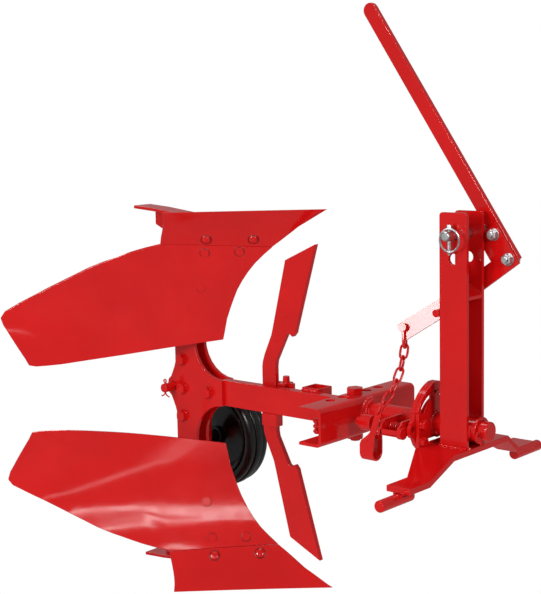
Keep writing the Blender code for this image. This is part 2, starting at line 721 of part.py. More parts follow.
# Handle: flat bar with a rounded top
handle_foot = Vector(HANDLE_FOOT)
handle_top = handle_foot + pad_dir * (HANDLE_LENGTH - HANDLE_WIDTH / 2)
half_handle = HANDLE_WIDTH / 2
start_angle = math.atan2(-pad_in.y, -pad_in.x)
handle_outline = [
    tuple(handle_foot + pad_in * half_handle), tuple(handle_foot - pad_in * half_handle),
] + arc(tuple(handle_top), half_handle, start_angle, start_angle + math.pi, SMALL_STEPS // 2)
plate("lever_handle", [handle_outline], "XZ", LEVER_FAR + SEAT, LEVER_FAR + SEAT + HANDLE_PLATE, release_lever)

# Shackle: a bent rod with an eye at each end, held to the arm by its bolt
bolt_spot = bend_spot + bent_run * bolt_along + bent_up * SHACKLE_LIFT
hang = Vector(CHAIN_LINE[0]) - bolt_spot
hang -= bent_face * hang.dot(bent_face)
hang_length = hang.length
chain_start = bolt_spot + hang
hang.normalize()
side_way = bent_face.cross(hang)
shackle_frame = Matrix((
    (side_way.x, hang.x, bent_face.x, bolt_spot.x),
    (side_way.y, hang.y, bent_face.y, bolt_spot.y),
    (side_way.z, hang.z, bent_face.z, bolt_spot.z),
    (0, 0, 0, 1)))
SHACKLE_HALF = LEVER_PLATE / 2 + 2 * SEAT + SHACKLE_ROD


def tube(name, points, radius, closed, sides_level=1):
    """A round rod bent along a line of points."""
    curve = bpy.data.curves.new(name, "CURVE")
    curve.dimensions = "3D"
    curve.bevel_depth = radius
    curve.bevel_resolution = sides_level
    curve.use_fill_caps = not closed
    curve.render_resolution_u = 0
    spline = curve.splines.new("POLY")
    spline.points.add(len(points) - 1)
    for point, spot in zip(spline.points, points):
        point.co = (*spot, 1)
    spline.use_cyclic_u = closed
    return mesh_from_curve(curve, name)


shackle_low = hang_length + SHACKLE_ROD - SHACKLE_HALF
shackle_line = [(0, 0, SHACKLE_HALF)] + [
    (0, up, across) for across, up in arc((0, shackle_low), SHACKLE_HALF, 0, math.pi, SMALL_STEPS // 2)
] + [(0, 0, -SHACKLE_HALF)]
shackle = place("chain_shackle", tube("chain_shackle", shackle_line, SHACKLE_ROD, False), release_lever, "red",
                shackle_frame)
for word, way in (("near", 1), ("far", -1)):
    start, end = sorted((way * (LEVER_PLATE / 2 + SEAT), way * (SHACKLE_HALF + SHACKLE_ROD)))
    eye = turned_mesh("shackle_eye_" + word, rod_profile(SHACKLE_EYE, start, end), SMALL_STEPS)
    carve(shackle, as_cutter("shackle_eye_" + word, eye, shackle_frame), "UNION")
bore = turned_mesh("shackle_bore", rod_profile(SHACKLE_BOLT_RADIUS + SEAT, -CHANNEL_DEPTH, CHANNEL_DEPTH), SMALL_STEPS)
carve(shackle, as_cutter("shackle_bore", bore, shackle_frame))
outer = SHACKLE_HALF + SHACKLE_ROD + SEAT
bolt_mesh = turned_mesh("shackle_bolt", [
    (0, -outer - SHACKLE_HEAD_LENGTH), (SHACKLE_EYE, -outer - SHACKLE_HEAD_LENGTH), (SHACKLE_EYE, -outer),
    (SHACKLE_BOLT_RADIUS, -outer), (SHACKLE_BOLT_RADIUS, outer), (SHACKLE_EYE, outer),
    (SHACKLE_EYE, outer + SHACKLE_HEAD_LENGTH), (0, outer + SHACKLE_HEAD_LENGTH),
], SMALL_STEPS)
place("shackle_bolt", bolt_mesh, release_lever, "red", shackle_frame)

# Turning shaft with its shoulder behind the lock plate and a collar at the channel
tube_front = LOCK_REAR - SEAT
tube_rear = CHANNEL_FRONT + SEAT
turned("pivot_shaft", [
    (0, tube_rear), (COLLAR_RADIUS, tube_rear), (COLLAR_RADIUS, tube_rear + COLLAR_LENGTH),
    (TUBE_RADIUS, tube_rear + COLLAR_LENGTH), (TUBE_RADIUS, tube_front), (SHAFT_RADIUS, tube_front),
    (SHAFT_RADIUS, SHAFT_FRONT - SHAFT_CHAMFER), (SHAFT_RADIUS - SHAFT_CHAMFER, SHAFT_FRONT), (0, SHAFT_FRONT),
], "X", (0, 0, 0), turnover)
washer_rear = SLEEVE_FRONT + SEAT
turned("shaft_washer", ring_profile(BORE_RADIUS, WASHER_RADIUS, washer_rear, washer_rear + WASHER_PLATE), "X",
       (0, 0, 0), turnover)

# Cross channel, folded from plate, open to the rear
channel_rear = CHANNEL_FRONT - CHANNEL_DEPTH
inner_bend = CHANNEL_BEND - CHANNEL_WALL
channel_outer = rounded(box_outline(channel_rear, CHANNEL_FRONT, -CHANNEL_HALF_HEIGHT, CHANNEL_HALF_HEIGHT),
                        (0, CHANNEL_BEND, CHANNEL_BEND, 0))
channel_inner = rounded(
    box_outline(channel_rear, CHANNEL_FRONT - CHANNEL_WALL,
                -CHANNEL_HALF_HEIGHT + CHANNEL_WALL, CHANNEL_HALF_HEIGHT - CHANNEL_WALL),
    (0, inner_bend, inner_bend, 0))
channel_profile = channel_outer + list(reversed(channel_inner))
channel = plate("cross_channel", [channel_profile], "XZ", -CHANNEL_HALF_LENGTH, CHANNEL_HALF_LENGTH, turnover)
bolt_bore = BOLT_RADIUS + SEAT
for index in range(-2, 3):
    radius = bolt_bore if index == 0 else CHANNEL_HOLE_RADIUS
    carve(channel, rod_cutter("channel_hole_%d" % (index + 2), radius, "Z",
                              (CHANNEL_HOLE_X, index * CHANNEL_HOLE_PITCH, 0),
                              -CHANNEL_HALF_HEIGHT - OVERRUN, CHANNEL_HALF_HEIGHT + OVERRUN))

# Bolt through channel and beam boss
bolt_head_foot = CHANNEL_HALF_HEIGHT + SEAT
bolt = turned("beam_bolt", rod_profile(BOLT_RADIUS, -bolt_head_foot - BOLT_NUT_HEIGHT - BOLT_TAIL,
                                       bolt_head_foot + BOLT_HEAD_HEIGHT / 2),
              "Z", (CHANNEL_HOLE_X, 0, 0), turnover, "red", SMALL_STEPS)
hex_radius = BOLT_ACROSS_FLATS / math.sqrt(3)
for name, foot, top in (("bolt_head", bolt_head_foot, bolt_head_foot + BOLT_HEAD_HEIGHT),
                        ("bolt_nut", -bolt_head_foot - BOLT_NUT_HEIGHT, -bolt_head_foot)):
    hexagon = circle((CHANNEL_HOLE_X, 0), hex_radius, 6)
    carve(bolt, plate_cutter(name, [hexagon], "XY", foot, top), "UNION")

# Beam: flat bar on edge with a round boss at its front
BEAM_FAR = BEAM_NEAR + BEAM_PLATE
beam = plate("beam", [box_outline(BEAM_REAR, BEAM_FRONT, -BEAM_HALF_HEIGHT, BEAM_HALF_HEIGHT)], "XZ",
             BEAM_NEAR, BEAM_FAR, turnover)
boss = turned_mesh("beam_boss", rod_profile(BOSS_RADIUS, -BEAM_HALF_HEIGHT, BEAM_HALF_HEIGHT))
carve(beam, as_cutter("beam_boss", boss, Matrix.Translation((CHANNEL_HOLE_X, 0, 0))), "UNION")
carve(beam, rod_cutter("beam_bore", bolt_bore, "Z", (CHANNEL_HOLE_X, 0, 0),
                       -BEAM_HALF_HEIGHT - OVERRUN, BEAM_HALF_HEIGHT + OVERRUN))


def between(table, key, column):
    """Read a column of a table that is sorted by its first column, straight between its rows."""
    rows = list(table)
    for first, second in zip(rows, rows[1:]):
        if key <= second[0] or second is rows[-1]:
            share = (key - first[0]) / (second[0] - first[0])
            return first[column] + (second[column] - first[column]) * share
    return rows[-1][column]


def smooth_between(table, key, column):
    """As between, averaged over a short stretch so that the line has no kinks."""
    spread = 0.012
    taps = (-1.0, -0.5, 0.0, 0.5, 1.0)
    return sum(between(table, key + spread * tap, column) for tap in taps) / len(taps)


def board_y(x, height):
    """Front face of moldboard and share: y at a place behind the shin."""
    back = smooth_between(SHIN_LINE, height, 1) - x
    slope = SURFACE_SLOPE + SHARE_SLOPE_GAIN * max(0.0, height - SEAM_FRONT_HEIGHT) / (
        CUTTING_DEPTH - SEAM_FRONT_HEIGHT)
    curl = BASE_CURL
    if height < CURL_HEIGHT:
        curl += TOP_CURL * ((CURL_HEIGHT - height) / CURL_HEIGHT) ** 2
    return smooth_between(SHIN_LINE, height, 2) - back * (slope + curl * back)


def board_point(x, height, depth):
    """Point at a depth behind the front face, measured square to it."""
    step = 0.001
    y = board_y(x, height)
    along = Vector((step, board_y(x + step, height) - y, 0))
    upward = Vector((0, board_y(x, height + step) - y, step))
    normal = along.cross(upward).normalized()
    if normal.y < 0:
        normal = -normal
    return Vector((x, y, height)) + normal * depth


def polyline_point(line, share):
    """Point at a share of the length of a line of points."""
    lengths = [math.dist(first, second) for first, second in zip(line, line[1:])]
    target = share * sum(lengths)
    for (first, second), length in zip(zip(line, line[1:]), lengths):
        if target <= length or second is line[-1]:
            part = target / length
            return Vector(first).lerp(Vector(second), part)
        target -= length
    return Vector(line[-1])


def coons(left, right, foot, top, across, up):
    """Patch between four edge lines, read at shares across and up."""
    left_point, right_point = polyline_point(left, up), polyline_point(right, up)
    foot_point, top_point = polyline_point(foot, across), polyline_point(top, across)
    ruled = left_point.lerp(right_point, across) + foot_point.lerp(top_point, up)
    corners = (Vector(foot[0]).lerp(Vector(foot[-1]), across)).lerp(
        Vector(top[0]).lerp(Vector(top[-1]), across), up)
    return ruled - corners


def surface_solid(name, spot, columns, rows, front, back, side, limit=CUTTING_DEPTH):
    """Closed sheet between two depths behind the board surface, on the upper (1) or lower (-1) body.

    The back stays within the limit, so that the share is cut off flat at its edge.
    """
    shape = bmesh.new()
    bmesh.ops.create_grid(shape, x_segments=columns, y_segments=rows, size=1)
    sheet = list(shape.faces)
    for vertex in shape.verts:
        x, height = spot((vertex.co.x + 1) / 2, (vertex.co.y + 1) / 2)
        vertex.co = (x, height, 0)
    flat = {vertex: (vertex.co.x, vertex.co.y) for vertex in shape.verts}
    raised = bmesh.ops.extrude_face_region(shape, geom=sheet)["geom"]
    copies = [item for item in raised if isinstance(item, bmesh.types.BMVert)]
    for vertex in copies:
        x, height = vertex.co.x, vertex.co.y
        point = board_point(x, height, back)
        vertex.co = (point.x, point.y, side * min(point.z, limit))
    for vertex, (x, height) in flat.items():
        point = board_point(x, height, front)
        vertex.co = (point.x, point.y, side * point.z)
    face_outwards(shape)
    mesh = bpy.data.meshes.new(name)
    shape.to_mesh(mesh)
    shape.free()
    return mesh


shin_edge = [(x, height) for height, x, y in SHIN_LINE if SHIN_TOP <= height <= SEAM_FRONT_HEIGHT]
share_front_edge = [(x, height + (BOARD_PART_GAP if height == SEAM_FRONT_HEIGHT else 0))
                    for height, x, y in SHIN_LINE if height >= SEAM_FRONT_HEIGHT]
share_seam = [(BOARD_FOOT_EDGE[0][0], BOARD_FOOT_EDGE[0][1] + BOARD_PART_GAP),
              (BOARD_FOOT_EDGE[1][0], BOARD_FOOT_EDGE[1][1] + BOARD_PART_GAP)]
seam_rear = share_seam[1][1]
share_rear = [share_seam[1]] + [(x, seam_rear + drop) for x, drop in SHARE_REAR_EDGE]
share_rear.append((SHARE_REAR_FOOT, CUTTING_DEPTH))
share_cut = [share_front_edge[-1], share_rear[-1]]
board_top_from_shin = list(reversed(BOARD_TOP_EDGE))


def board_spot(across, up):
    return coons(shin_edge, list(reversed(BOARD_TAIL_EDGE)), board_top_from_shin, list(BOARD_FOOT_EDGE), across, up)


def share_spot(across, up):
    return coons(share_front_edge, share_rear, share_seam, share_cut, across, up)


def frog_spot(across, up):
    height = FROG_TOP + (FROG_FOOT - FROG_TOP) * up
    return smooth_between(SHIN_LINE, height, 1) - FROG_START - FROG_LENGTH * across, height


def frog_cut_spot(across, up):
    """The frog's own grid, carried on by some cells on every side."""
    wide = FROG_COLUMNS + 2 * FROG_MARGIN_CELLS
    tall = FROG_ROWS + 2 * FROG_MARGIN_CELLS
    return frog_spot((across * wide - FROG_MARGIN_CELLS) / FROG_COLUMNS, (up * tall - FROG_MARGIN_CELLS) / FROG_ROWS)


FROG_FRONT = SHARE_PLATE + FROG_CLEAR
FROG_BACK = FROG_FRONT + FROG_PLATE

# Leg plate outline on the upper side of the axis, front edge first
LEG_NEAR_OUTER = BEAM_NEAR - SEAT - LEG_PLATE
fillet_center = (LEG_FILLET_END + SEAT, LEG_FILLET + BEAM_HALF_HEIGHT + SEAT)


def heel_depth(x):
    """Height of the heel strip's ground face."""
    if x <= HEEL_BEND:
        share = (x - HEEL_TIP) / (HEEL_BEND - HEEL_TIP)
        return HEEL_TIP_DEPTH + (HEEL_BEND_DEPTH - HEEL_TIP_DEPTH) * share
    share = (x - HEEL_BEND) / (HEEL_START - HEEL_BEND)
    return HEEL_BEND_DEPTH + (HEEL_START_DEPTH - HEEL_BEND_DEPTH) * share


def leg_half(toe):
    """Half outline from the front middle round to the rear middle."""
    front = arc(fillet_center, LEG_FILLET, -math.pi / 2, -math.pi, CORNER_STEPS + 2)
    line = [(LEG_FILLET_END, BEAM_HALF_HEIGHT)] + front[1:]
    line += [(-0.664, 0.140), (-0.648, 0.175), (-0.618, 0.215)]
    line += [(x - 0.008, height) for height, x, y in SHIN_LINE if 0.229 <= height <= SEAM_FRONT_HEIGHT]
    line += [(-0.488, 0.345)]
    strip = HEEL_PLATE + SEAT
    if toe:
        line += [(HEEL_START, heel_depth(HEEL_START) - strip), (HEEL_BEND, heel_depth(HEEL_BEND) - strip),
                 (TOE_REACH, heel_depth(TOE_REACH) - strip), (TOE_REACH, heel_depth(TOE_REACH) - strip - TOE_HEIGHT),
                 (-0.750, 0.350), (LEG_REAR - 0.006, 0.325)]
    else:
        line += [(-0.600, 0.366), (-0.690, 0.366), (LEG_REAR + 0.012, 0.345)]
    line += [(LEG_REAR, 0.290), (LEG_REAR, EAR_ROOT_HEIGHT + 0.012), (LEG_REAR - 0.004, EAR_ROOT_HEIGHT)]
    line += [(-0.742, EAR_HALF_HEIGHT), (-0.750, EAR_HALF_HEIGHT - 0.007), (EAR_REACH, EAR_HALF_HEIGHT - 0.016)]
    return line


swing_bore = circle((SWING_X, 0), SWING_PIN_RADIUS + SEAT, SMALL_STEPS)
legs = []
for name, low, toe in (("leg_plate_near", LEG_NEAR_OUTER, True), ("leg_plate_far", BEAM_FAR + SEAT, False)):
    half = leg_half(toe)
    outline = half + mirrored(half)
    legs.append(plate(name, [outline, swing_bore], "XZ", low, low + LEG_PLATE, turnover))

for side, word in ((1, "upper"), (-1, "lower")):
    place("moldboard_" + word, surface_solid("moldboard_" + word, board_spot, 18, 10, 0, BOARD_PLATE, side),
          turnover, "red")
    place("share_" + word, surface_solid("share_" + word, share_spot, 18, 6, 0, SHARE_PLATE, side),
          turnover, "red")
    place("frog_" + word, surface_solid("frog_" + word, frog_spot, FROG_COLUMNS, FROG_ROWS, FROG_FRONT, FROG_BACK, side),
          turnover, "red")
    clear_mesh = surface_solid("frog_clear_" + word, frog_cut_spot, FROG_COLUMNS + 2 * FROG_MARGIN_CELLS,
                               FROG_ROWS + 2 * FROG_MARGIN_CELLS, -CLEAR_DEPTH, FROG_BACK + SEAT, side, CLEAR_LIMIT)
    clear = as_cutter("frog_clear_" + word, clear_mesh)
    for leg in legs:
        carve(leg, clear)

    heel_foot = [(HEEL_TIP, HEEL_TIP_DEPTH), (HEEL_BEND, HEEL_BEND_DEPTH), (HEEL_START, HEEL_START_DEPTH)]
    heel_loop = heel_foot + list(reversed(lowered(heel_foot, HEEL_PLATE)))
    if side < 0:
        heel_loop = mirrored(heel_loop)
    plate("heel_" + word, [heel_loop], "XZ", HEEL_NEAR, HEEL_NEAR + HEEL_WIDTH, turnover)

    coulter_loop = list(COULTER_OUTLINE) if side > 0 else mirrored(COULTER_OUTLINE)
    plate("coulter_" + word, [coulter_loop], "XZ", BEAM_FAR + SEAT, BEAM_FAR + SEAT + COULTER_PLATE, turnover)

# Clamp behind the coulter shanks with an ear and a stud over the beam, and a block under the beam
clamp_low = BEAM_FAR + COULTER_PLATE + 2 * SEAT
clamp_high = clamp_low + CLAMP_PLATE
ear_foot = BEAM_HALF_HEIGHT + SEAT
clamp_profile = box_outline(CLAMP_REAR, CLAMP_FRONT, -BEAM_HALF_HEIGHT, ear_foot + CLAMP_EAR_PLATE)
clamp = plate("coulter_clamp", [clamp_profile], "XZ", clamp_low, clamp_high, turnover)
ear_outline = rounded(box_outline(CLAMP_EAR_REAR, CLAMP_FRONT, BEAM_FAR + SEAT, CLAMP_EAR_FAR),
                      (0, CLAMP_EAR_CORNER, CLAMP_EAR_CORNER, 0))
carve(clamp, plate_cutter("clamp_ear", [ear_outline], "XY", ear_foot, ear_foot + CLAMP_EAR_PLATE), "UNION")
carve(clamp, rod_cutter("clamp_stud", STUD_RADIUS, "Z", (STUD_X, STUD_Y, 0), ear_foot, STUD_TOP), "UNION")
block_foot = -BEAM_HALF_HEIGHT - SEAT - CLAMP_BLOCK_HEIGHT
plate("clamp_block", [box_outline(CLAMP_BLOCK_REAR, CLAMP_BLOCK_FRONT, block_foot, -BEAM_HALF_HEIGHT - SEAT)],
      "XZ", BEAM_NEAR, BEAM_FAR, turnover)

# Socket for the parking leg, welded to the far side of the beam
socket_near = BEAM_FAR + SEAT
socket_loop = box_outline(SOCKET_REAR, SOCKET_REAR + SOCKET_OUTER, socket_near, socket_near + SOCKET_OUTER)
socket_hole = box_outline(SOCKET_REAR + SOCKET_WALL, SOCKET_REAR + SOCKET_OUTER - SOCKET_WALL,
                          socket_near + SOCKET_WALL, socket_near + SOCKET_OUTER - SOCKET_WALL)
plate("leg_socket", [socket_loop, socket_hole], "XY", SOCKET_FOOT, SOCKET_TOP, turnover)

# Latch bracket welded to the turning tube
bracket_far = -TUBE_RADIUS - SEAT
bracket_side = [
    (LATCH_REAR, LATCH_BASE_TOP - LATCH_PLATE), (LATCH_FRONT, LATCH_BASE_TOP - LATCH_PLATE),
    (LATCH_FRONT, LATCH_UPRIGHT_TOP), (LATCH_FRONT - LATCH_PLATE, LATCH_UPRIGHT_TOP),
    (LATCH_FRONT - LATCH_PLATE, LATCH_BASE_TOP), (LATCH_REAR + LATCH_PLATE, LATCH_BASE_TOP),
    (LATCH_REAR + LATCH_PLATE, LATCH_UPRIGHT_TOP), (LATCH_REAR, LATCH_UPRIGHT_TOP),
]
bracket = plate("latch_bracket", [bracket_side], "XZ", LATCH_BASE_NEAR, bracket_far, turnover)
carve(bracket, rod_cutter("plunger_bore", PLUNGER_RADIUS + SEAT, "X", (0, LATCH_Y, 0),
                          LATCH_REAR - OVERRUN, LATCH_FRONT + OVERRUN))
turned("latch_plunger", rod_profile(PLUNGER_RADIUS, HOUSING_FRONT + SEAT, PLUNGER_FRONT, SHAFT_CHAMFER), "X",
       (0, LATCH_Y, 0), turnover, "red", SMALL_STEPS)
turned("latch_housing", [
    (0, HOUSING_TIP), (HOUSING_TIP_RADIUS / 2, HOUSING_TIP), (HOUSING_TIP_RADIUS, HOUSING_TIP + 0.002),
    (HOUSING_TIP_RADIUS, HOUSING_REAR - 0.002), (HOUSING_RADIUS - 0.003, HOUSING_REAR), (HOUSING_RADIUS, HOUSING_REAR + 0.003),
    (HOUSING_RADIUS, HOUSING_FRONT), (0, HOUSING_FRONT),
], "X", (0, LATCH_Y, 0), turnover, "red", ROUND_STEPS)

# Latch spring round the plunger
spring_start = LATCH_REAR + LATCH_PLATE + SPRING_WIRE + SEAT
spring_end = LATCH_FRONT - LATCH_PLATE - SPRING_WIRE - SEAT
spring_steps = SPRING_TURNS * SPRING_STEPS
spring_line = []
for step in range(spring_steps + 1):
    angle = math.tau * step / SPRING_STEPS
    spring_line.append((
        spring_start + (spring_end - spring_start) * step / spring_steps,
        LATCH_Y + SPRING_RADIUS * math.sin(angle), SPRING_RADIUS * math.cos(angle)))
place("latch_spring", tube("latch_spring", spring_line, SPRING_WIRE, False, 0), turnover, "red")

# Fork that hangs round the latch housing, with a strap up to the chain
fork_reach = HOUSING_RADIUS + SEAT
fork_outer = fork_reach + FORK_STRIP
fork_out = rounded(box_outline(LATCH_Y - fork_outer, LATCH_Y + fork_outer, FORK_FOOT - FORK_STRIP, FORK_TOP),
                   (FORK_BEND, FORK_BEND, 0, 0))
fork_in = rounded(box_outline(LATCH_Y - fork_reach, LATCH_Y + fork_reach, FORK_FOOT, FORK_TOP),
                  (FORK_BEND - FORK_STRIP, FORK_BEND - FORK_STRIP, 0, 0))
fork_profile = [fork_out[-1]] + fork_out[:-1] + [fork_in[-2]] + list(reversed(fork_in[:-2])) + [fork_in[-1]]
fork = plate("release_fork", [fork_profile], "YZ", FORK_REAR, FORK_FRONT, turnover)
eye_x, eye_z = STRAP_EYE
neck_foot, neck_top = (Vector(point) for point in STRAP_NECK)
eye_point = Vector(STRAP_EYE)
eye_arc = arc(STRAP_EYE, STRAP_EYE_RADIUS, -math.pi / 4, math.pi * 3 / 4, SMALL_STEPS // 2)
strap_outline = [tuple(neck_top), tuple(neck_foot)] + eye_arc
strap_low = LATCH_Y - fork_outer
carve(fork, plate_cutter("fork_strap", [strap_outline], "XZ", strap_low, strap_low + FORK_STRIP), "UNION")
carve(fork, rod_cutter("strap_hole", STRAP_HOLE_RADIUS, "Y", (eye_x, 0, eye_z),
                       strap_low - OVERRUN, strap_low + FORK_STRIP + OVERRUN))

# Chain links, each turned a quarter from its neighbour
chain_line = [chain_start] + [Vector(point) for point in CHAIN_LINE[1:]]


def along_line(line, share):
    """Point at a share of the length of a line of points in space."""
    lengths = [(second - first).length for first, second in zip(line, line[1:])]
    target = share * sum(lengths)
    for index, length in enumerate(lengths):
        if target <= length or index == len(lengths) - 1:
            return line[index].lerp(line[index + 1], target / length)
        target -= length


pitch_points = [along_line(chain_line, index / CHAIN_COUNT) for index in range(CHAIN_COUNT + 1)]
for index, (first, second) in enumerate(zip(pitch_points, pitch_points[1:])):
    run = second - first
    link_length = run.length + 4 * CHAIN_WIRE + CHAIN_PLAY
    half_run = (link_length - CHAIN_WIDTH) / 2
    turn_radius = CHAIN_WIDTH / 2 - CHAIN_WIRE
    ends = arc((0, half_run), turn_radius, 0, math.pi, 5) + arc((0, -half_run), turn_radius, math.pi, math.tau, 5)
    run.normalize()
    wide = (side_way - run * side_way.dot(run)).normalized()
    if index % 2:
        wide = run.cross(wide)
    deep = wide.cross(run)
    middle = (first + second) / 2
    turn = Matrix((
        (wide.x, run.x, deep.x, middle.x), (wide.y, run.y, deep.y, middle.y),
        (wide.z, run.z, deep.z, middle.z), (0, 0, 0, 1)))
    link = tube("chain_link", [(across, up, 0) for across, up in ends], CHAIN_WIRE, True)
    place("chain_link_%d" % (index + 1), link, headstock, "red", turn)

# Swinging gauge wheel: boss on the far leg plate, pin, arm, axle and wheel
LEG_FAR_OUTER = BEAM_FAR + SEAT + LEG_PLATE
boss_start = LEG_FAR_OUTER + SEAT
turned("swing_boss", ring_profile(SWING_PIN_RADIUS + SEAT, BOSS_FAR_RADIUS, boss_start, BOSS_FAR_END), "Y",
       (SWING_X, 0, 0), turnover, "red", SMALL_STEPS + CORNER_STEPS)
arm_near = BOSS_FAR_END + SEAT
arm_far = arm_near + SWING_ARM_PLATE
arm_half = SWING_ARM_RADIUS
arm_loop = arc((SWING_X, 0), arm_half, 0, math.pi, SMALL_STEPS // 2) + arc(
    (SWING_X, -WHEEL_DROP), arm_half, math.pi, math.tau, SMALL_STEPS // 2)
plate("wheel_arm", [arm_loop], "XZ", arm_near, arm_far, swing_arm)
turned("swing_pin", rod_profile(SWING_PIN_RADIUS, SWING_PIN_NEAR, arm_near - SEAT, SHAFT_CHAMFER), "Y",
       (SWING_X, 0, 0), swing_arm, "red", SMALL_STEPS)
wheel_far = WHEEL_NEAR + WHEEL_WIDTH
turned("wheel_axle", [
    (0, arm_far + SEAT), (AXLE_CAP_RADIUS, arm_far + SEAT), (AXLE_CAP_RADIUS, WHEEL_NEAR - SEAT),
    (AXLE_RADIUS, WHEEL_NEAR - SEAT), (AXLE_RADIUS, wheel_far + SEAT), (AXLE_CAP_RADIUS, wheel_far + SEAT),
    (AXLE_CAP_RADIUS, wheel_far + AXLE_END), (0, wheel_far + AXLE_END),
], "Y", (SWING_X, 0, -WHEEL_DROP), swing_arm, "red", SMALL_STEPS)
web_middle = (WHEEL_NEAR + wheel_far) / 2
turned("wheel_rim", [
    (AXLE_RADIUS + SEAT, WHEEL_NEAR), (HUB_RADIUS, WHEEL_NEAR), (HUB_RADIUS, web_middle - RIM_WALL),
    (RIM_RADIUS - RIM_WALL, web_middle - RIM_WALL), (RIM_RADIUS - RIM_WALL, WHEEL_NEAR + RIM_WALL),
    (RIM_RADIUS, WHEEL_NEAR + RIM_WALL),
    (RIM_RADIUS, wheel_far - RIM_WALL), (RIM_RADIUS - RIM_WALL, wheel_far - RIM_WALL),
    (RIM_RADIUS - RIM_WALL, web_middle + RIM_WALL), (HUB_RADIUS, web_middle + RIM_WALL),
    (HUB_RADIUS, wheel_far), (AXLE_RADIUS + SEAT, wheel_far),
], "Y", (SWING_X, 0, -WHEEL_DROP), gauge_wheel, "black")
tyre_inner = RIM_RADIUS + SEAT
tread = [(tyre_inner, WHEEL_NEAR + RIM_WALL), (WHEEL_RADIUS - 2 * RIB_DEPTH, WHEEL_NEAR + RIB_DEPTH / 2)]
rib_width = WHEEL_WIDTH / (2 * RIB_COUNT + 1)
for index in range(2 * RIB_COUNT + 1):
    raised = index % 2 == 1
    radius = WHEEL_RADIUS if raised else WHEEL_RADIUS - RIB_DEPTH
    start = WHEEL_NEAR + rib_width * index
    tread += [(radius, start + rib_width / 5), (radius, start + rib_width * 4 / 5)]
tread += [(WHEEL_RADIUS - 2 * RIB_DEPTH, wheel_far - RIB_DEPTH / 2), (tyre_inner, wheel_far - RIM_WALL)]
turned("wheel_tyre", tread, "Y", (SWING_X, 0, -WHEEL_DROP), gauge_wheel, "black")
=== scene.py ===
"""Dressed model of a small mounted turnover plough: painted plates, welds, bolts, chain and gauge wheel."""
import json
import math

import bmesh
import bpy
from mathutils import Matrix, Vector
from mathutils.bvhtree import BVHTree


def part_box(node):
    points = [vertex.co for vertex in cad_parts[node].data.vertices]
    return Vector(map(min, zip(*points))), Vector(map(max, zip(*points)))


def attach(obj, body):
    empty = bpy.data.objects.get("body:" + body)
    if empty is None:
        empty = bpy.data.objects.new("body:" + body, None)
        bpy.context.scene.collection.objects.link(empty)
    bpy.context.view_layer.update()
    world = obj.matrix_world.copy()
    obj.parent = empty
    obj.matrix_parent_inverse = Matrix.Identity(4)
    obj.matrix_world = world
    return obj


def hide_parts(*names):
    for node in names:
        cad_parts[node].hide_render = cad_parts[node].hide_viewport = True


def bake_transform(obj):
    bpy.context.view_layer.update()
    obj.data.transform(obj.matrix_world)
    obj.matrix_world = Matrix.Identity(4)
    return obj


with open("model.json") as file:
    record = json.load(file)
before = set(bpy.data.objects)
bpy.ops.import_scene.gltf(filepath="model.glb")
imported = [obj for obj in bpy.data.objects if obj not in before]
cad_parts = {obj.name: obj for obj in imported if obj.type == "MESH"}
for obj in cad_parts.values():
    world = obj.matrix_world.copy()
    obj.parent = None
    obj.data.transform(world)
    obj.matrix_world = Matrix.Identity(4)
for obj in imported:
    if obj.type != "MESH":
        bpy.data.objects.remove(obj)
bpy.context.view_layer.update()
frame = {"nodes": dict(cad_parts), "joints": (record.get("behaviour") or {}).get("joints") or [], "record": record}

nodes = frame["nodes"]

# The turning axis is where the drawing's sizes start from, as in the part's source
axis_spot = Vector(next(joint["pos_m"] for joint in frame["joints"] if joint["name"] == "turnover"))


def spot(x, y, z):
    """A place in metres from the turning axis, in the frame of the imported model."""
    return axis_spot + Vector((x, y, z))


# ---- Red enamel on all the steelwork
# Two-pack gloss enamel, sprayed on bare steel after welding: a deep even red with a hard wet shine,
# a fine orange peel that breaks the edges of a reflection, and a slightly thinner, duller coat in places.

def linear(code):
    """An sRGB hex colour as the linear values that Blender takes."""
    parts = [int(code[start:start + 2], 16) / 255 for start in (1, 3, 5)]
    return [part / 12.92 if part <= 0.04045 else ((part + 0.055) / 1.055) ** 2.4 for part in parts] + [1.0]


def add_node(tree, kind, settings, links=None):
    """Add a node, set its properties and input values, and link its inputs to other nodes' outputs."""
    node = tree.nodes.new(kind)
    for key, value in settings.items():
        if key in node.inputs:
            node.inputs[key].default_value = value
        else:
            setattr(node, key, value)
    for key, output in (links or {}).items():
        tree.links.new(output, node.inputs[key])
    return node


def start_material(name):
    """A new material, with its node tree, its main shader and its Object coordinates."""
    material = bpy.data.materials.new(name)
    material.use_nodes = True
    tree = material.node_tree
    place = add_node(tree, "ShaderNodeTexCoord", {}).outputs["Object"]
    return material, tree, tree.nodes["Principled BSDF"], place


def set_stops(ramp, stops):
    """Give a colour ramp its stops, each a position and an sRGB colour."""
    for element, (position, code) in zip(ramp.color_ramp.elements, stops):
        element.position = position
        element.color = linear(code)


# Orange peel comes in waves of 2.5 mm
PEEL_WAVE = 0.0025


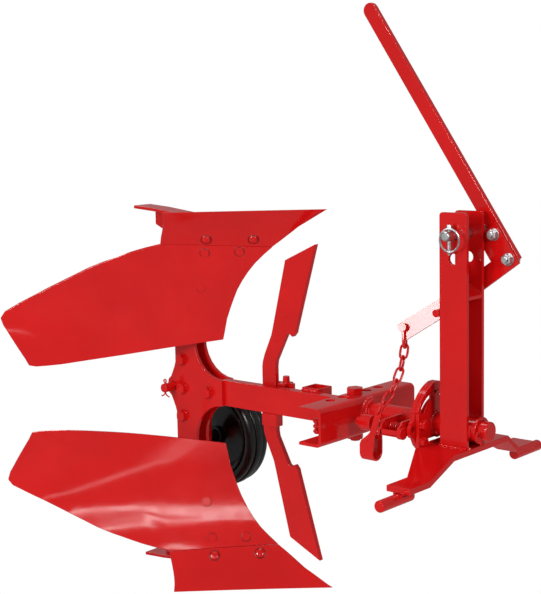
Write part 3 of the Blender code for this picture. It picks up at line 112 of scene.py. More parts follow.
def enamel(name, thin, full, low_rough, high_rough, peel_height):
    """Gloss enamel: its colour deepens where the coat is full, and its shine varies from place to place."""
    material, tree, shader, place = start_material(name)
    # The coat's thickness changes over about 110 mm and its shine over about 30 mm
    coat = add_node(tree, "ShaderNodeTexNoise", {"Scale": 9.0, "Detail": 3.0, "Roughness": 0.5},
                    {"Vector": place})
    shade = add_node(tree, "ShaderNodeValToRGB", {}, {"Fac": coat.outputs["Fac"]})
    set_stops(shade, ((0.30, thin), (0.70, full)))
    shine = add_node(tree, "ShaderNodeTexNoise", {"Scale": 35.0, "Detail": 4.0}, {"Vector": place})
    rough = add_node(tree, "ShaderNodeMapRange",
                     {"From Min": 0.35, "From Max": 0.65, "To Min": low_rough, "To Max": high_rough},
                     {"Value": shine.outputs["Fac"]})
    peel = add_node(tree, "ShaderNodeTexNoise", {"Scale": 1 / PEEL_WAVE, "Detail": 0.0}, {"Vector": place})
    relief = add_node(tree, "ShaderNodeBump", {"Strength": 0.12, "Distance": peel_height},
                      {"Height": peel.outputs["Fac"]})
    tree.links.new(shade.outputs["Color"], shader.inputs["Base Color"])
    tree.links.new(rough.outputs["Result"], shader.inputs["Roughness"])
    tree.links.new(relief.outputs["Normal"], shader.inputs["Normal"])
    shader.inputs["IOR"].default_value = 1.52
    shader.inputs["Coat Weight"].default_value = 0.10
    shader.inputs["Coat Roughness"].default_value = 0.06
    return material


red_enamel = enamel("red_enamel", "#C90F10", "#D41213", low_rough=0.08, high_rough=0.14, peel_height=0.00004)


def set_finish(piece, material):
    """Give a piece one material in place of what it has."""
    piece.data.materials.clear()
    piece.data.materials.append(material)


# A fold sharper than this is an edge of the steel, a shallower one is part of a curve
CREASE = math.radians(32)


def round_by_angle(shape):
    """Shade smooth over shallow folds and leave the others crisp."""
    for face in shape.faces:
        face.smooth = True
    for edge in shape.edges:
        edge.smooth = len(edge.link_faces) == 2 and edge.calc_face_angle() < CREASE


def soften(piece, radius):
    """Round the crisp edges, as paint and grinding leave them."""
    bevel = piece.modifiers.new("rounded_edges", "BEVEL")
    bevel.width = radius
    bevel.segments = 2
    bevel.limit_method = "ANGLE"
    bevel.angle_limit = CREASE
    bevel.harden_normals = True


def finish_piece(shape, name, body, material, edge_radius=0.0, turn_out=True):
    """Make a finished piece of a mesh in the model's frame and hang it on its body."""
    if turn_out:
        bmesh.ops.recalc_face_normals(shape, faces=shape.faces)
    round_by_angle(shape)
    mesh = bpy.data.meshes.new(name)
    shape.to_mesh(mesh)
    shape.free()
    piece = bpy.data.objects.new(name, mesh)
    bpy.context.scene.collection.objects.link(piece)
    set_finish(piece, material)
    if edge_radius:
        soften(piece, edge_radius)
    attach(piece, body)
    return piece


# Corners nearer to each other than this are one corner
SAME_CORNER = 0.00002


def welded_copy(name):
    """A CAD node's mesh with its loose triangles joined and its flat faces made whole."""
    shape = bmesh.new()
    shape.from_mesh(nodes[name].data)
    bmesh.ops.remove_doubles(shape, verts=shape.verts, dist=SAME_CORNER)
    bmesh.ops.dissolve_limit(shape, angle_limit=math.radians(1), verts=shape.verts, edges=shape.edges)
    return shape


def paint_over(name, body, radius):
    """The CAD node's own shape under paint, with rounded edges."""
    piece = finish_piece(welded_copy(name), name + "_painted", body, red_enamel, radius,
                         turn_out=False)
    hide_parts(name)
    return piece


for part in frame["record"]["subparts"]:
    if part["material_slot"] == "red_paint":
        set_finish(nodes[part["node"]], red_enamel)

# ---- Headstock: mast, crossbar, sleeve and pins
# Flame-cut plate of 8 and 12 mm, ground at its edges, tacked in a jig and welded with one pass all round,
# then painted as one piece.

# Each piece with the radius of its edges
for name, radius in (
    ("mast_plate_near", 0.0010), ("mast_plate_far", 0.0010), ("mast_brace", 0.0008), ("crossbar", 0.0014),
    ("pivot_sleeve", 0.0010), ("link_pin_near", 0.0008), ("link_pin_far", 0.0008), ("lever_spacer", 0.0008),
):
    paint_over(name, "headstock", radius)

# The lever's pin, turned down a little where the lever's plate runs on it
LEVER_HEIGHT = 0.267
TURNED_DOWN = 0.955
pivot_shape = welded_copy("lever_pivot_pin")
for vertex in pivot_shape.verts:
    vertex.co.x = axis_spot.x + (vertex.co.x - axis_spot.x) * TURNED_DOWN
    vertex.co.z = axis_spot.z + LEVER_HEIGHT + (vertex.co.z - axis_spot.z - LEVER_HEIGHT) * TURNED_DOWN
pivot = finish_piece(pivot_shape, "lever_pivot_pin_painted", "headstock", red_enamel, 0.0008,
                     turn_out=False)
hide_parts("lever_pivot_pin")


def add_curve(shape, curve, merge, stand=None):
    """Turn a curve into a clean mesh, stand it in its place and add it to a shape."""
    holder = bpy.data.objects.new(curve.name, curve)
    bpy.context.scene.collection.objects.link(holder)
    bpy.context.view_layer.update()
    mesh = bpy.data.meshes.new_from_object(holder.evaluated_get(bpy.context.evaluated_depsgraph_get()))
    bpy.data.objects.remove(holder)
    if stand:
        mesh.transform(stand)
    part = bmesh.new()
    part.from_mesh(mesh)
    bmesh.ops.remove_doubles(part, verts=part.verts, dist=merge)
    bmesh.ops.recalc_face_normals(part, faces=part.faces)
    part.to_mesh(mesh)
    part.free()
    shape.from_mesh(mesh)


# Thin wire has corners closer together than plate
SAME_WIRE_CORNER = 0.00001


def add_sweep(shape, points, radii, closed, resolution):
    """Sweep a round section of changing radius along points and add it to a mesh."""
    curve = bpy.data.curves.new("sweep", "CURVE")
    curve.dimensions = "3D"
    curve.bevel_depth = 1.0
    curve.bevel_resolution = resolution
    curve.use_fill_caps = not closed
    line = curve.splines.new("POLY")
    line.points.add(len(points) - 1)
    for point, place, radius in zip(line.points, points, radii):
        point.co = (*place, 1)
        point.radius = radius
    line.use_cyclic_u = closed
    add_curve(shape, curve, SAME_WIRE_CORNER)


# Distance from one scale of a weld bead to the next, drawn in four steps
BEAD_PITCH = 0.0042
SCALE_STEPS = 4


def add_bead(shape, corners, radius, closed=False):
    """A weld bead along a line: a row of overlapping scales as the welder's hand moves on."""
    points = []
    ends = corners[1:] + corners[:1] if closed else corners[1:]
    for first, second in zip(corners, ends):
        count = max(2, round((second - first).length / (BEAD_PITCH / SCALE_STEPS)))
        for step in range(count):
            points.append(first.lerp(second, step / count))
    if not closed:
        points.append(corners[-1])
    radii = [radius * (0.80 + 0.24 * (index % SCALE_STEPS) / (SCALE_STEPS - 1) + 0.05 * math.sin(index * 1.9))
             for index in range(len(points))]
    add_sweep(shape, points, radii, closed, 2)


def ring_points(centre, radius, across, up, start=0.0, sweep=math.tau, steps=48):
    """Points round a circle that lies in the plane of two directions."""
    closed = abs(sweep - math.tau) < 0.001
    count = steps if closed else steps + 1
    return [centre + across * radius * math.cos(start + sweep * step / steps)
            + up * radius * math.sin(start + sweep * step / steps) for step in range(count)]


X_WAY = Vector((1, 0, 0))
Y_WAY = Vector((0, 1, 0))
Z_WAY = Vector((0, 0, 1))

# Mast plates: outer and inner faces and half their depth; the crossbar's top under them
MAST_OUTER = 0.0305
MAST_INNER = 0.0225
MAST_HALF = 0.030
MAST_FRONT = MAST_HALF + 0.0005
BAR_TOP = -0.034
BEAD_LINE = BAR_TOP + 0.001
# Lower link pins: their place along the axis and the height of their seams under the crossbar's ends
PIN_X = 0.006
PIN_SEAM = -0.080
BRACE_SIDE = 0.0215
STOP_SEAM = -0.0552
welds = bmesh.new()
for side in (-1, 1):
    foot = [spot(-MAST_HALF, side * (MAST_OUTER + 0.001), BEAD_LINE),
            spot(MAST_HALF, side * (MAST_OUTER + 0.001), BEAD_LINE)]
    add_bead(welds, foot, 0.0046)
    front = [spot(MAST_FRONT, side * MAST_INNER, BEAD_LINE), spot(MAST_FRONT, side * MAST_OUTER, BEAD_LINE)]
    add_bead(welds, front, 0.0042)
    # Over and under the brace, up its slope
    over = [spot(0.029, side * BRACE_SIDE, 0.2575), spot(-0.023, side * BRACE_SIDE, 0.2885)]
    add_bead(welds, over, 0.0026)
    under = [spot(0.026, side * BRACE_SIDE, 0.2500), spot(-0.021, side * BRACE_SIDE, 0.2785)]
    add_bead(welds, under, 0.0024)
    for across in (-0.0085, 0.0085):
        pin_seam = [spot(PIN_X + across, side * reach, PIN_SEAM) for reach in (0.181, 0.220)]
        add_bead(welds, pin_seam, 0.0028)
    sleeve_front = ring_points(spot(MAST_FRONT, 0, 0), 0.0228, Y_WAY * side, Z_WAY, -0.5, 1.0, 12)
    add_bead(welds, sleeve_front, 0.0034)
add_bead(welds, ring_points(spot(-0.0550, 0, 0), 0.0235, Y_WAY, Z_WAY, steps=36), 0.0028, closed=True)
# Over and under the crossbar, where the stop plate meets it
for height, radius in ((BEAD_LINE, 0.0040), (BAR_TOP - 0.0125, 0.0026)):
    add_bead(welds, [spot(STOP_SEAM, across, height) for across in (-0.048, 0.048)], radius)
finish_piece(welds, "headstock_welds", "headstock", red_enamel, turn_out=False)

# ---- Zinc plated fasteners
# Steel nuts, bolts and pins with a thin bright zinc plating, slightly clouded: a pale cool grey metal
# whose broad highlights are soft, with faint drawing lines left from the bar.


def zinc(name):
    """Zinc plating: clouds of about 6 mm and drawing lines under 1 mm."""
    material, tree, shader, place = start_material(name)
    cloud = add_node(tree, "ShaderNodeTexNoise", {"Scale": 160.0, "Detail": 4.0}, {"Vector": place})
    shade = add_node(tree, "ShaderNodeValToRGB", {}, {"Fac": cloud.outputs["Fac"]})
    set_stops(shade, ((0.30, "#B9BCC0"), (0.72, "#DDDDDB")))
    rough = add_node(tree, "ShaderNodeMapRange", {"To Min": 0.22, "To Max": 0.42},
                     {"Value": cloud.outputs["Fac"]})
    grain = add_node(tree, "ShaderNodeTexNoise", {"Scale": 1500.0, "Detail": 2.0}, {"Vector": place})
    relief = add_node(tree, "ShaderNodeBump", {"Strength": 0.2, "Distance": 0.00005},
                      {"Height": grain.outputs["Fac"]})
    tree.links.new(shade.outputs["Color"], shader.inputs["Base Color"])
    tree.links.new(rough.outputs["Result"], shader.inputs["Roughness"])
    tree.links.new(relief.outputs["Normal"], shader.inputs["Normal"])
    shader.inputs["Metallic"].default_value = 1.0
    return material


bright_zinc = zinc("bright_zinc")


def standing(place, way):
    """The turn and move that stand a shape's z along a way at a place."""
    return Matrix.Translation(place) @ way.to_track_quat("Z", "Y").to_matrix().to_4x4()


def add_disc(shape, place, way, radius, height, sides=32, top_radius=None):
    """A round or sided block from its foot up along a way."""
    top = radius if top_radius is None else top_radius
    made = bmesh.ops.create_cone(shape, cap_ends=True, segments=sides, radius1=radius, radius2=top,
                                 depth=height)
    bmesh.ops.transform(shape, matrix=standing(place + way * height / 2, way), verts=made["verts"])


# A hexagon is straight up to this fraction of its height, and its top is this fraction of its width
STRAIGHT = 0.86
TOP_WIDTH = 0.86


def add_hex(shape, place, way, flats, height):
    """A hexagon with its outer corners turned off."""
    corner = flats / math.sqrt(3)
    add_disc(shape, place, way, corner, height * STRAIGHT, 6)
    add_disc(shape, place + way * height * STRAIGHT, way, corner * 0.985, height * (1 - STRAIGHT), 6,
             corner * TOP_WIDTH)


WASHER_PLATE = 0.0022
THREAD_PITCH = 0.0015


def add_nut(shape, place, way, flats, height, washer, stud=0.0):
    """A nut on a washer, with the bolt's threaded end standing out of it."""
    add_disc(shape, place, way, washer, WASHER_PLATE, 32)
    add_hex(shape, place + way * WASHER_PLATE, way, flats, height)
    if stud:
        reach = height + WASHER_PLATE
        add_disc(shape, place, way, flats * 0.30, reach + stud, 20, flats * 0.29)
        for turn in range(int(stud / THREAD_PITCH)):
            thread = place + way * (reach + turn * THREAD_PITCH)
            add_disc(shape, thread, way, flats * 0.33, 0.0008, 20, flats * 0.30)


# ---- Stop plates with their bolts
# Two flame-cut 8 mm plates under four bolts: a front plate with rounded shoulders and two curved slots, and
# behind it a plate that is only a rim above and carries the two lock holes below.


def add_flat(shape, outlines, low, high):
    """A flat plate square to the turning axis: its outline, then its holes."""
    curve = bpy.data.curves.new("flat", "CURVE")
    curve.dimensions = "2D"
    curve.fill_mode = "BOTH"
    curve.extrude = (high - low) / 2
    for outline in outlines:
        line = curve.splines.new("POLY")
        line.points.add(len(outline) - 1)
        for point, (across, height) in zip(line.points, outline):
            point.co = (across, height, 0, 1)
        line.use_cyclic_u = True
    upright = Matrix(((0, 0, 1, 0), (1, 0, 0, 0), (0, 1, 0, 0), (0, 0, 0, 1)))
    add_curve(shape, curve, SAME_CORNER, Matrix.Translation(spot((low + high) / 2, 0, 0)) @ upright)


def around(radius, start, end, steps, side=1):
    """Points at a radius from the turning axis, with angles in degrees from straight up."""
    turns = [math.radians(start + (end - start) * step / steps) for step in range(steps + 1)]
    return [(side * radius * math.sin(turn), radius * math.cos(turn)) for turn in turns]


def curved_slots(inner, outer, start, end):
    """The same slot on both sides of the axis, between two radii."""
    return [around(outer, start, end, 14, side) + around(inner, end, start, 14, side) for side in (1, -1)]


def both_sides(half):
    """An outline made whole from its right half."""
    return half + [(-across, height) for across, height in reversed(half)]


# Rear and front faces of the two plates along the axis
STOP_PLATE = (-0.0640, -0.0560)
LOCK_PLATE = (-0.0723, -0.0643)
PLATE_EDGE = 0.0009
# Each shoulder is struck from a centre 14 mm past the axis, on the other side
crown = [(across - 0.0140, height) for across, height in around(0.0860, 14, 68, 16)]
feet = [(0.0520, -0.0415), (0.0340, -0.0415), (0.0340, -0.0240)]
stop_half = crown + [(0.0630, 0.0300), (0.0640, 0.0000), (0.0635, -0.0300), (0.0600, -0.0370)] + feet
shaft_hole = around(0.0193, 0, 360, 40)[:-1]
stop_shape = bmesh.new()
add_flat(stop_shape, [both_sides(stop_half), shaft_hole] + curved_slots(0.0550, 0.0665, 9, 61), *STOP_PLATE)
stop = finish_piece(stop_shape, "stop_plate_painted", "headstock", red_enamel, PLATE_EDGE,
                    turn_out=False)
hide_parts("stop_plate")

# The lock plate bulges at the height of the axis, round its lock holes
LOCK_HOLE_REACH = 0.071
LOCK_HOLE_RADIUS = 0.0064
bulge = [(0.0680 + 0.0130 * math.cos(math.radians(turn)), -0.0030 + 0.0150 * math.sin(math.radians(turn)))
         for turn in range(50, -100, -15)]
lock_half = crown + [(0.0630, 0.0300), (0.0680, 0.0160), (0.0765, 0.0110)] + bulge + [(0.0610, -0.0330)] + feet
lock_holes = [[(side * LOCK_HOLE_REACH + LOCK_HOLE_RADIUS * math.cos(math.radians(turn)),
                LOCK_HOLE_RADIUS * math.sin(math.radians(turn))) for turn in range(0, 360, 18)]
              for side in (-1, 1)]
lock_shape = bmesh.new()
add_flat(lock_shape, [both_sides(lock_half), shaft_hole] + curved_slots(0.0270, 0.0685, 5, 66) + lock_holes,
         *LOCK_PLATE)
lock = finish_piece(lock_shape, "lock_plate_painted", "headstock", red_enamel, PLATE_EDGE,
                    turn_out=False)
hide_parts("lock_plate")

# Bolts through the two stop plates, with low round heads at the rear
stop_bolts = bmesh.new()
for across in (-0.052, 0.052):
    for height in (0.007, -0.026):
        add_nut(stop_bolts, spot(STOP_PLATE[1], across, height), X_WAY, 0.017, 0.0075, 0.0100)
        add_disc(stop_bolts, spot(LOCK_PLATE[0], across, height), -X_WAY, 0.0090, 0.0038, 28, 0.0065)
finish_piece(stop_bolts, "stop_plate_bolts", "headstock", red_enamel, 0.0005)

# ---- Top link pin with its linch pin
# Turned steel pin, zinc plated, with a hole for the linch pin: a round stem with a wire ring that snaps
# over the pin's end and keeps the stem from dropping out.

PIN_HEIGHT = 0.3705
PIN_SHORTER = 0.0120
set_finish(nodes["top_link_pin"], bright_zinc)
pin_shape = welded_copy("top_link_pin")
# The near end comes in: its points lie more than 60 mm to the near side
for vertex in pin_shape.verts:
    if vertex.co.y < axis_spot.y - 0.060:
        vertex.co.y += PIN_SHORTER
pin_piece = finish_piece(pin_shape, "top_link_pin_plated", "headstock", bright_zinc, 0.0006,
                         turn_out=False)
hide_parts("top_link_pin")

# Linch pin: a stem with a tapered tip below and a head above
STEM_Y = -0.0430
STEM_RADIUS = 0.0038
linch = bmesh.new()
add_disc(linch, spot(0, STEM_Y, PIN_HEIGHT - 0.036), Z_WAY, 0.0026, 0.008, 20, STEM_RADIUS)
add_disc(linch, spot(0, STEM_Y, PIN_HEIGHT - 0.028), Z_WAY, STEM_RADIUS, 0.044, 24)
add_disc(linch, spot(0, STEM_Y, PIN_HEIGHT + 0.0125), Z_WAY, 0.0060, 0.0085, 24, 0.0048)
# Its ring leans on the pin's end, a little taller than wide
RING_HALF_WIDTH = 0.0188
RING_HALF_HEIGHT = 0.0222
RING_STEPS = 48
ring_up = (Z_WAY * 0.97 + Y_WAY * -0.12 + X_WAY * 0.05).normalized()
ring_across = (X_WAY * 0.97 + Y_WAY * 0.20).normalized()
ring_middle = spot(0.0055, -0.0505, PIN_HEIGHT - 0.0070)
ring_line = [ring_middle + ring_across * RING_HALF_WIDTH * math.cos(math.tau * step / RING_STEPS)
             + ring_up * RING_HALF_HEIGHT * math.sin(math.tau * step / RING_STEPS)
             for step in range(RING_STEPS)]
add_sweep(linch, ring_line, [0.0021] * RING_STEPS, True, 3)
finish_piece(linch, "linch_pin", "headstock", bright_zinc, turn_out=False)

# ---- Release lever: bent plate, handle, rest bar
# An 8 mm angle piece bolted to the foot of a long flat bar. Its rear strip is bent in towards the chain,
# in one bend, and the handle's end is rounded for the hand.


def open_at(shape, place, way, reach):
    """Cut a strip square to its run and drop what lies past the cut, leaving an open end."""
    everything = shape.verts[:] + shape.edges[:] + shape.faces[:]
    bmesh.ops.bisect_plane(shape, geom=everything, plane_co=place + way * reach, plane_no=way,
                           clear_outer=True)


LEVER_Y = 0.039
LEVER_SLOPE = math.radians(35.5)
BEND_ANGLE = math.radians(21)
BEND_X = -0.031
# The bend takes up 5 mm of the strip on both sides of its fold
BEND_HALF = 0.005
flat_run = Vector((-math.cos(LEVER_SLOPE), 0, -math.sin(LEVER_SLOPE)))
bent_run = flat_run * math.cos(BEND_ANGLE) - Y_WAY * math.sin(BEND_ANGLE)
bend_place = spot(BEND_X, LEVER_Y, LEVER_HEIGHT + BEND_X * math.tan(LEVER_SLOPE))
plate_shape = welded_copy("lever_plate")
open_at(plate_shape, bend_place, flat_run, -BEND_HALF)
arm_shape = welded_copy("lever_arm")
open_at(arm_shape, bend_place, -bent_run, -BEND_HALF)
arm_mesh = bpy.data.meshes.new("arm_part")
arm_shape.to_mesh(arm_mesh)
arm_shape.free()
plate_shape.from_mesh(arm_mesh)
seam = [edge for edge in plate_shape.edges if edge.is_boundary]
bmesh.ops.bridge_loops(plate_shape, edges=seam)
lever = finish_piece(plate_shape, "release_lever_plate", "release_lever", red_enamel, 0.0009)
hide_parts("lever_plate", "lever_arm")
for name, radius in (
    ("lever_handle", 0.0022), ("lever_rest_bar", 0.0010), ("chain_shackle", 0.0004), ("shackle_bolt", 0.0006),
):
    paint_over(name, "release_lever", radius)

# Two bolts hold the handle to the plate, with their nuts towards the mast and their heads outside
lever_nuts = bmesh.new()
for x, z in ((0.0475, 0.3690), (0.0790, 0.3240)):
    add_nut(lever_nuts, spot(x, 0.0360, z), -Y_WAY, 0.019, 0.0100, 0.0120, 0.005)
    add_nut(lever_nuts, spot(x, 0.0545, z), Y_WAY, 0.019, 0.0080, 0.0120)
finish_piece(lever_nuts, "lever_bolts", "release_lever", bright_zinc, 0.0005)

# ---- Chain from the shackle to the latch
# Short welded links of 5 mm wire, dipped in the same red. They hang from the shackle's bolt, and the
# lowest one holds the eye of the release fork.

# The drawing's faceted wire grows by this before it is rounded, and so keeps its thickness
WIRE_GROWTH = 0.00035
LINK_COUNT = 6
# Every link is baked in place alike, the upper half as the lower
for number in range(1, LINK_COUNT + 1):
    name = "chain_link_%d" % number
    shape = bmesh.new()
    shape.from_mesh(nodes[name].data)
    bmesh.ops.remove_doubles(shape, verts=shape.verts, dist=SAME_CORNER)
    shape.normal_update()
    for vertex in shape.verts:
        vertex.co += vertex.normal * WIRE_GROWTH
    for face in shape.faces:
        face.smooth = True
    mesh = bpy.data.meshes.new(name + "_round")
    shape.to_mesh(mesh)
    shape.free()
    link = bpy.data.objects.new(name + "_round", mesh)
    bpy.context.scene.collection.objects.link(link)
    set_finish(link, red_enamel)
    rounding = link.modifiers.new("rounding", "SUBSURF")
    rounding.levels = 2
    rounding.render_levels = 2
    if number <= LINK_COUNT / 2:
        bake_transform(link)
    else:
        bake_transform(link)
    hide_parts(name)

# ---- Turning part: shaft, channel, beam, legs, coulters and bodies
# Bar and plate welded into one frame that turns half round: a folded channel with a row of holes, the
# flat beam bolted in its mouth, and a leg plate on each side of the beam.

# Each piece with the radius of its edges
for name, radius in (
    ("pivot_shaft", 0.0010), ("shaft_washer", 0.0010), ("cross_channel", 0.0010), ("beam_bolt", 0.0008),
    ("beam", 0.0012), ("leg_plate_near", 0.0010), ("leg_plate_far", 0.0010), ("heel_upper", 0.0012),
    ("heel_lower", 0.0012), ("coulter_upper", 0.0012), ("coulter_lower", 0.0012), ("clamp_block", 0.0012),
    ("leg_socket", 0.0012), ("latch_plunger", 0.0008), ("latch_housing", 0.0008), ("swing_boss", 0.0010),
    ("moldboard_upper", 0.0012), ("moldboard_lower", 0.0012), ("share_upper", 0.0010), ("share_lower", 0.0010),
):
    paint_over(name, "turnover", radius)

# The channel's lower flange hangs lower and its near end stands further out than in the drawing. The beam's
# bolt goes down with the flange, and points over 120 mm to the near side belong to the end.
FLANGE_DROP = 0.0070
NEAR_END_OUT = 0.0060
for name in ("cross_channel_painted", "beam_bolt_painted"):
    for vertex in bpy.data.objects[name].data.vertices:
        if vertex.co.z < axis_spot.z - 0.010:
            vertex.co.z -= FLANGE_DROP
        if vertex.co.y < axis_spot.y - 0.120:
            vertex.co.y -= NEAR_END_OUT

# The far leg's ends, over 205 mm up or down, are narrower at the front than in the drawing, so that the
# moldboards' front edges hide them
LEG_END_BACK = 0.0180
for vertex in bpy.data.objects["leg_plate_far_painted"].data.vertices:
    if abs(vertex.co.z - axis_spot.z) > 0.205 and vertex.co.x > axis_spot.x - 0.600:
        vertex.co.x -= LEG_END_BACK

# ---- Moldboards' tails and frogs
# A moldboard is pressed from steel plate and cut with nearly sharp corners at its tail. The frog behind it is
# a bent plate that carries moldboard and share.

# A corner of the upper board, and its move; points within 5 mm of a corner move with it
CORNER_REACH = 0.0050
TAIL_CORNERS = (
    ((-0.9382, -0.3561, 0.1718), (0.0015, 0.0012, 0.0060)),
    ((-0.9252, -0.3434, 0.1964), (-0.0054, -0.0045, -0.0050)),
    ((-0.8869, -0.3205, 0.0791), (-0.0020, -0.0016, -0.0050)),
)
for word, side in (("upper", 1), ("lower", -1)):
    for (x, y, z), (along, across, up) in TAIL_CORNERS:
        for vertex in bpy.data.objects["moldboard_%s_painted" % word].data.vertices:
            if (vertex.co - spot(x, y, side * z)).length < CORNER_REACH:
                vertex.co += Vector((along, across, side * up))

# The frogs' leading edges lie well behind the shin, where the moldboards hide them: each row of points
# moves back along the board, the foremost in full and those 100 mm behind it not at all
FROG_ROW = 0.012
FROG_TAPER = 0.100
FROG_BACK = Vector((-0.0250, -0.0205, 0))
for name in ("frog_upper", "frog_lower"):
    frog_shape = welded_copy(name)
    foremost = {}
    for vertex in frog_shape.verts:
        row = round((vertex.co.z - axis_spot.z) / FROG_ROW)
        foremost[row] = max(foremost.get(row, vertex.co.x), vertex.co.x)
    for vertex in frog_shape.verts:
        row = round((vertex.co.z - axis_spot.z) / FROG_ROW)
        fraction = min(1.0, max(0.0, 1.0 + (vertex.co.x - foremost[row]) / FROG_TAPER))
        vertex.co += FROG_BACK * fraction
    frog = finish_piece(frog_shape, name + "_painted", "turnover", red_enamel, 0.0004,
                        turn_out=False)
    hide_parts(name)

# ---- Coulter clamp
# A flat plate behind the two coulters, drawn up against them by bolts and a block on the far side, with an
# ear that is folded over the beam's top.


def add_block(shape, low, high):
    """A block from its lowest to its highest corner."""
    made = bmesh.ops.create_cube(shape, size=1.0)
    grow = Matrix.Diagonal((*(high - low), 1.0))
    bmesh.ops.transform(shape, matrix=Matrix.Translation((low + high) / 2) @ grow, verts=made["verts"])


# The plate, then its ear
clamp_shape = bmesh.new()
add_block(clamp_shape, spot(-0.488, 0.0054, -0.0282), spot(-0.424, 0.0134, 0.0340))
add_block(clamp_shape, spot(-0.456, -0.0090, 0.0285), spot(-0.437, 0.0230, 0.0340))
clamp = finish_piece(clamp_shape, "coulter_clamp_painted", "turnover", red_enamel, 0.0012)
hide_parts("coulter_clamp")

# ---- Latch bracket and release fork
# Strip of 4 mm, bent and welded. The bracket guides the plunger, and the fork hangs round the plunger with
# one leg carried up to the chain as a strap.


def add_plate(shape, outline, way, low, high):
    """A flat outline made a plate between two places along X or Y, as the way says."""
    side = X_WAY if way == "X" else Y_WAY
    corners = [shape.verts.new(spot(low, first, second) if way == "X" else spot(first, low, second))
               for first, second in outline]
    face = shape.faces.new(corners)
    grown = bmesh.ops.extrude_face_region(shape, geom=[face])
    moved = [item for item in grown["geom"] if isinstance(item, bmesh.types.BMVert)]
    bmesh.ops.translate(shape, verts=moved, vec=side * (high - low))


def arc(middle, radius, start, end, steps):
    """Points of a flat arc, with its angles in degrees."""
    turns = [math.radians(start + (end - start) * step / steps) for step in range(steps + 1)]
    return [(middle[0] + radius * math.cos(turn), middle[1] + radius * math.sin(turn)) for turn in turns]


# A base with a lip along its near edge, two uprights that guide the plunger, and a round boss in front
bracket_shape = bmesh.new()
add_block(bracket_shape, spot(-0.1240, -0.0960, -0.0135), spot(-0.0770, -0.0230, -0.0095))
add_block(bracket_shape, spot(-0.1300, -0.0960, -0.0120), spot(-0.0770, -0.0915, -0.0010))
upright = [(-0.0960, -0.0130), (-0.0230, -0.0130), (-0.0230, 0.0160), (-0.0840, 0.0160), (-0.0950, 0.0080),
           (-0.0960, 0.0000)]
add_plate(bracket_shape, upright, "X", -0.1238, -0.1195)
add_plate(bracket_shape, upright, "X", -0.0815, -0.0772)
add_disc(bracket_shape, spot(-0.0850, -0.0860, -0.0060), X_WAY, 0.0125, 0.0108, 28)
bracket = finish_piece(bracket_shape, "latch_bracket_painted", "turnover", red_enamel, 0.0008)
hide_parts("latch_bracket")

# The near leg and its strap, the round bend below, the far leg, and the cross pin between the legs
FORK_NEAR = -0.0908
FORK_FAR = -0.0552
FORK_REAR = -0.1770
FORK_FRONT = -0.1470
STRIP = 0.004
hoop_radius = (FORK_FAR - FORK_NEAR) / 2
hoop_middle = ((FORK_NEAR + FORK_FAR) / 2, -0.0560)
fork_shape = bmesh.new()
strap_rear = [(FORK_REAR, -0.0590), (FORK_REAR, -0.0400), (-0.1735, -0.0320), (-0.1600, -0.0215),
              (-0.1520, -0.0140), (-0.1405, 0.0220)]
strap_eye = arc((-0.1325, 0.0240), 0.0080, 170, -40, 12)
strap_front = [(-0.1375, -0.0130), (-0.1420, -0.0220), (FORK_FRONT, -0.0590)]
add_plate(fork_shape, strap_rear + strap_eye + strap_front, "Y", FORK_NEAR, FORK_NEAR + STRIP)
hoop = arc(hoop_middle, hoop_radius, 180, 360, 16) + arc(hoop_middle, hoop_radius - STRIP, 360, 180, 16)
add_plate(fork_shape, hoop, "X", FORK_REAR, FORK_FRONT)
far_leg = [(FORK_REAR, -0.0560), (FORK_REAR, -0.0240), (FORK_FRONT, -0.0180), (FORK_FRONT, -0.0560)]
add_plate(fork_shape, far_leg, "Y", FORK_FAR - STRIP, FORK_FAR)
add_disc(fork_shape, spot(-0.161, FORK_NEAR - 0.001, -0.0300), Y_WAY, 0.0045, FORK_FAR - FORK_NEAR + 0.002, 20)
fork = finish_piece(fork_shape, "release_fork_painted", "turnover", red_enamel, 0.0007)
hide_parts("release_fork")

# ---- Welds and bolts of the turning frame
# One-pass beads where the frame's pieces meet, and hexagon bolts through the leg plates, the beam and the
# coulter clamp, all painted over with the rest.

# Shaft to channel, then on both sides: leg to beam, leg to heel, socket to beam, bracket to shaft
frame_welds = bmesh.new()
add_bead(frame_welds, ring_points(spot(-0.2165, 0, 0), 0.0305, Y_WAY, Z_WAY, steps=40), 0.0030, closed=True)
for side in (-1, 1):
    add_bead(frame_welds, [spot(x, -0.0005, side * 0.029) for x in (-0.725, -0.670)], 0.0022)
    add_bead(frame_welds, [spot(-0.770, -0.0405, side * 0.3915), spot(-0.690, -0.0405, side * 0.3880)], 0.0028)
    add_bead(frame_welds, [spot(x, -0.0094, side * 0.0285) for x in (-0.388, -0.343)], 0.0024)
    add_bead(frame_welds, [spot(x, -0.045 + 0.012 * side, -0.0125) for x in (-0.122, -0.080)], 0.0020)
# Round the beam's boss
boss_ring = ring_points(spot(-0.256, -0.0315, 0), 0.0235, X_WAY, Z_WAY, -2.2, 4.4, 24)
add_bead(frame_welds, boss_ring, 0.0024)
# Three heavy stitches up the channel's web at its near end
STITCH_STEPS = 10
rows = range(3 * STITCH_STEPS + 1)
stitches = [spot(-0.2350, -0.1500, -0.0165 + 0.0010 * row) for row in rows]
swell = [0.0042 + 0.0036 * abs(math.sin(math.pi * row / STITCH_STEPS)) for row in rows]
add_sweep(frame_welds, stitches, swell, False, 3)
# Round the ear of the wheel's swing pin
ear_ring = ring_points(spot(-0.735, -0.0008, 0), 0.0185, X_WAY, Z_WAY, steps=30)
add_bead(frame_welds, ear_ring, 0.0024, closed=True)
finish_piece(frame_welds, "frame_welds", "turnover", red_enamel, turn_out=False)

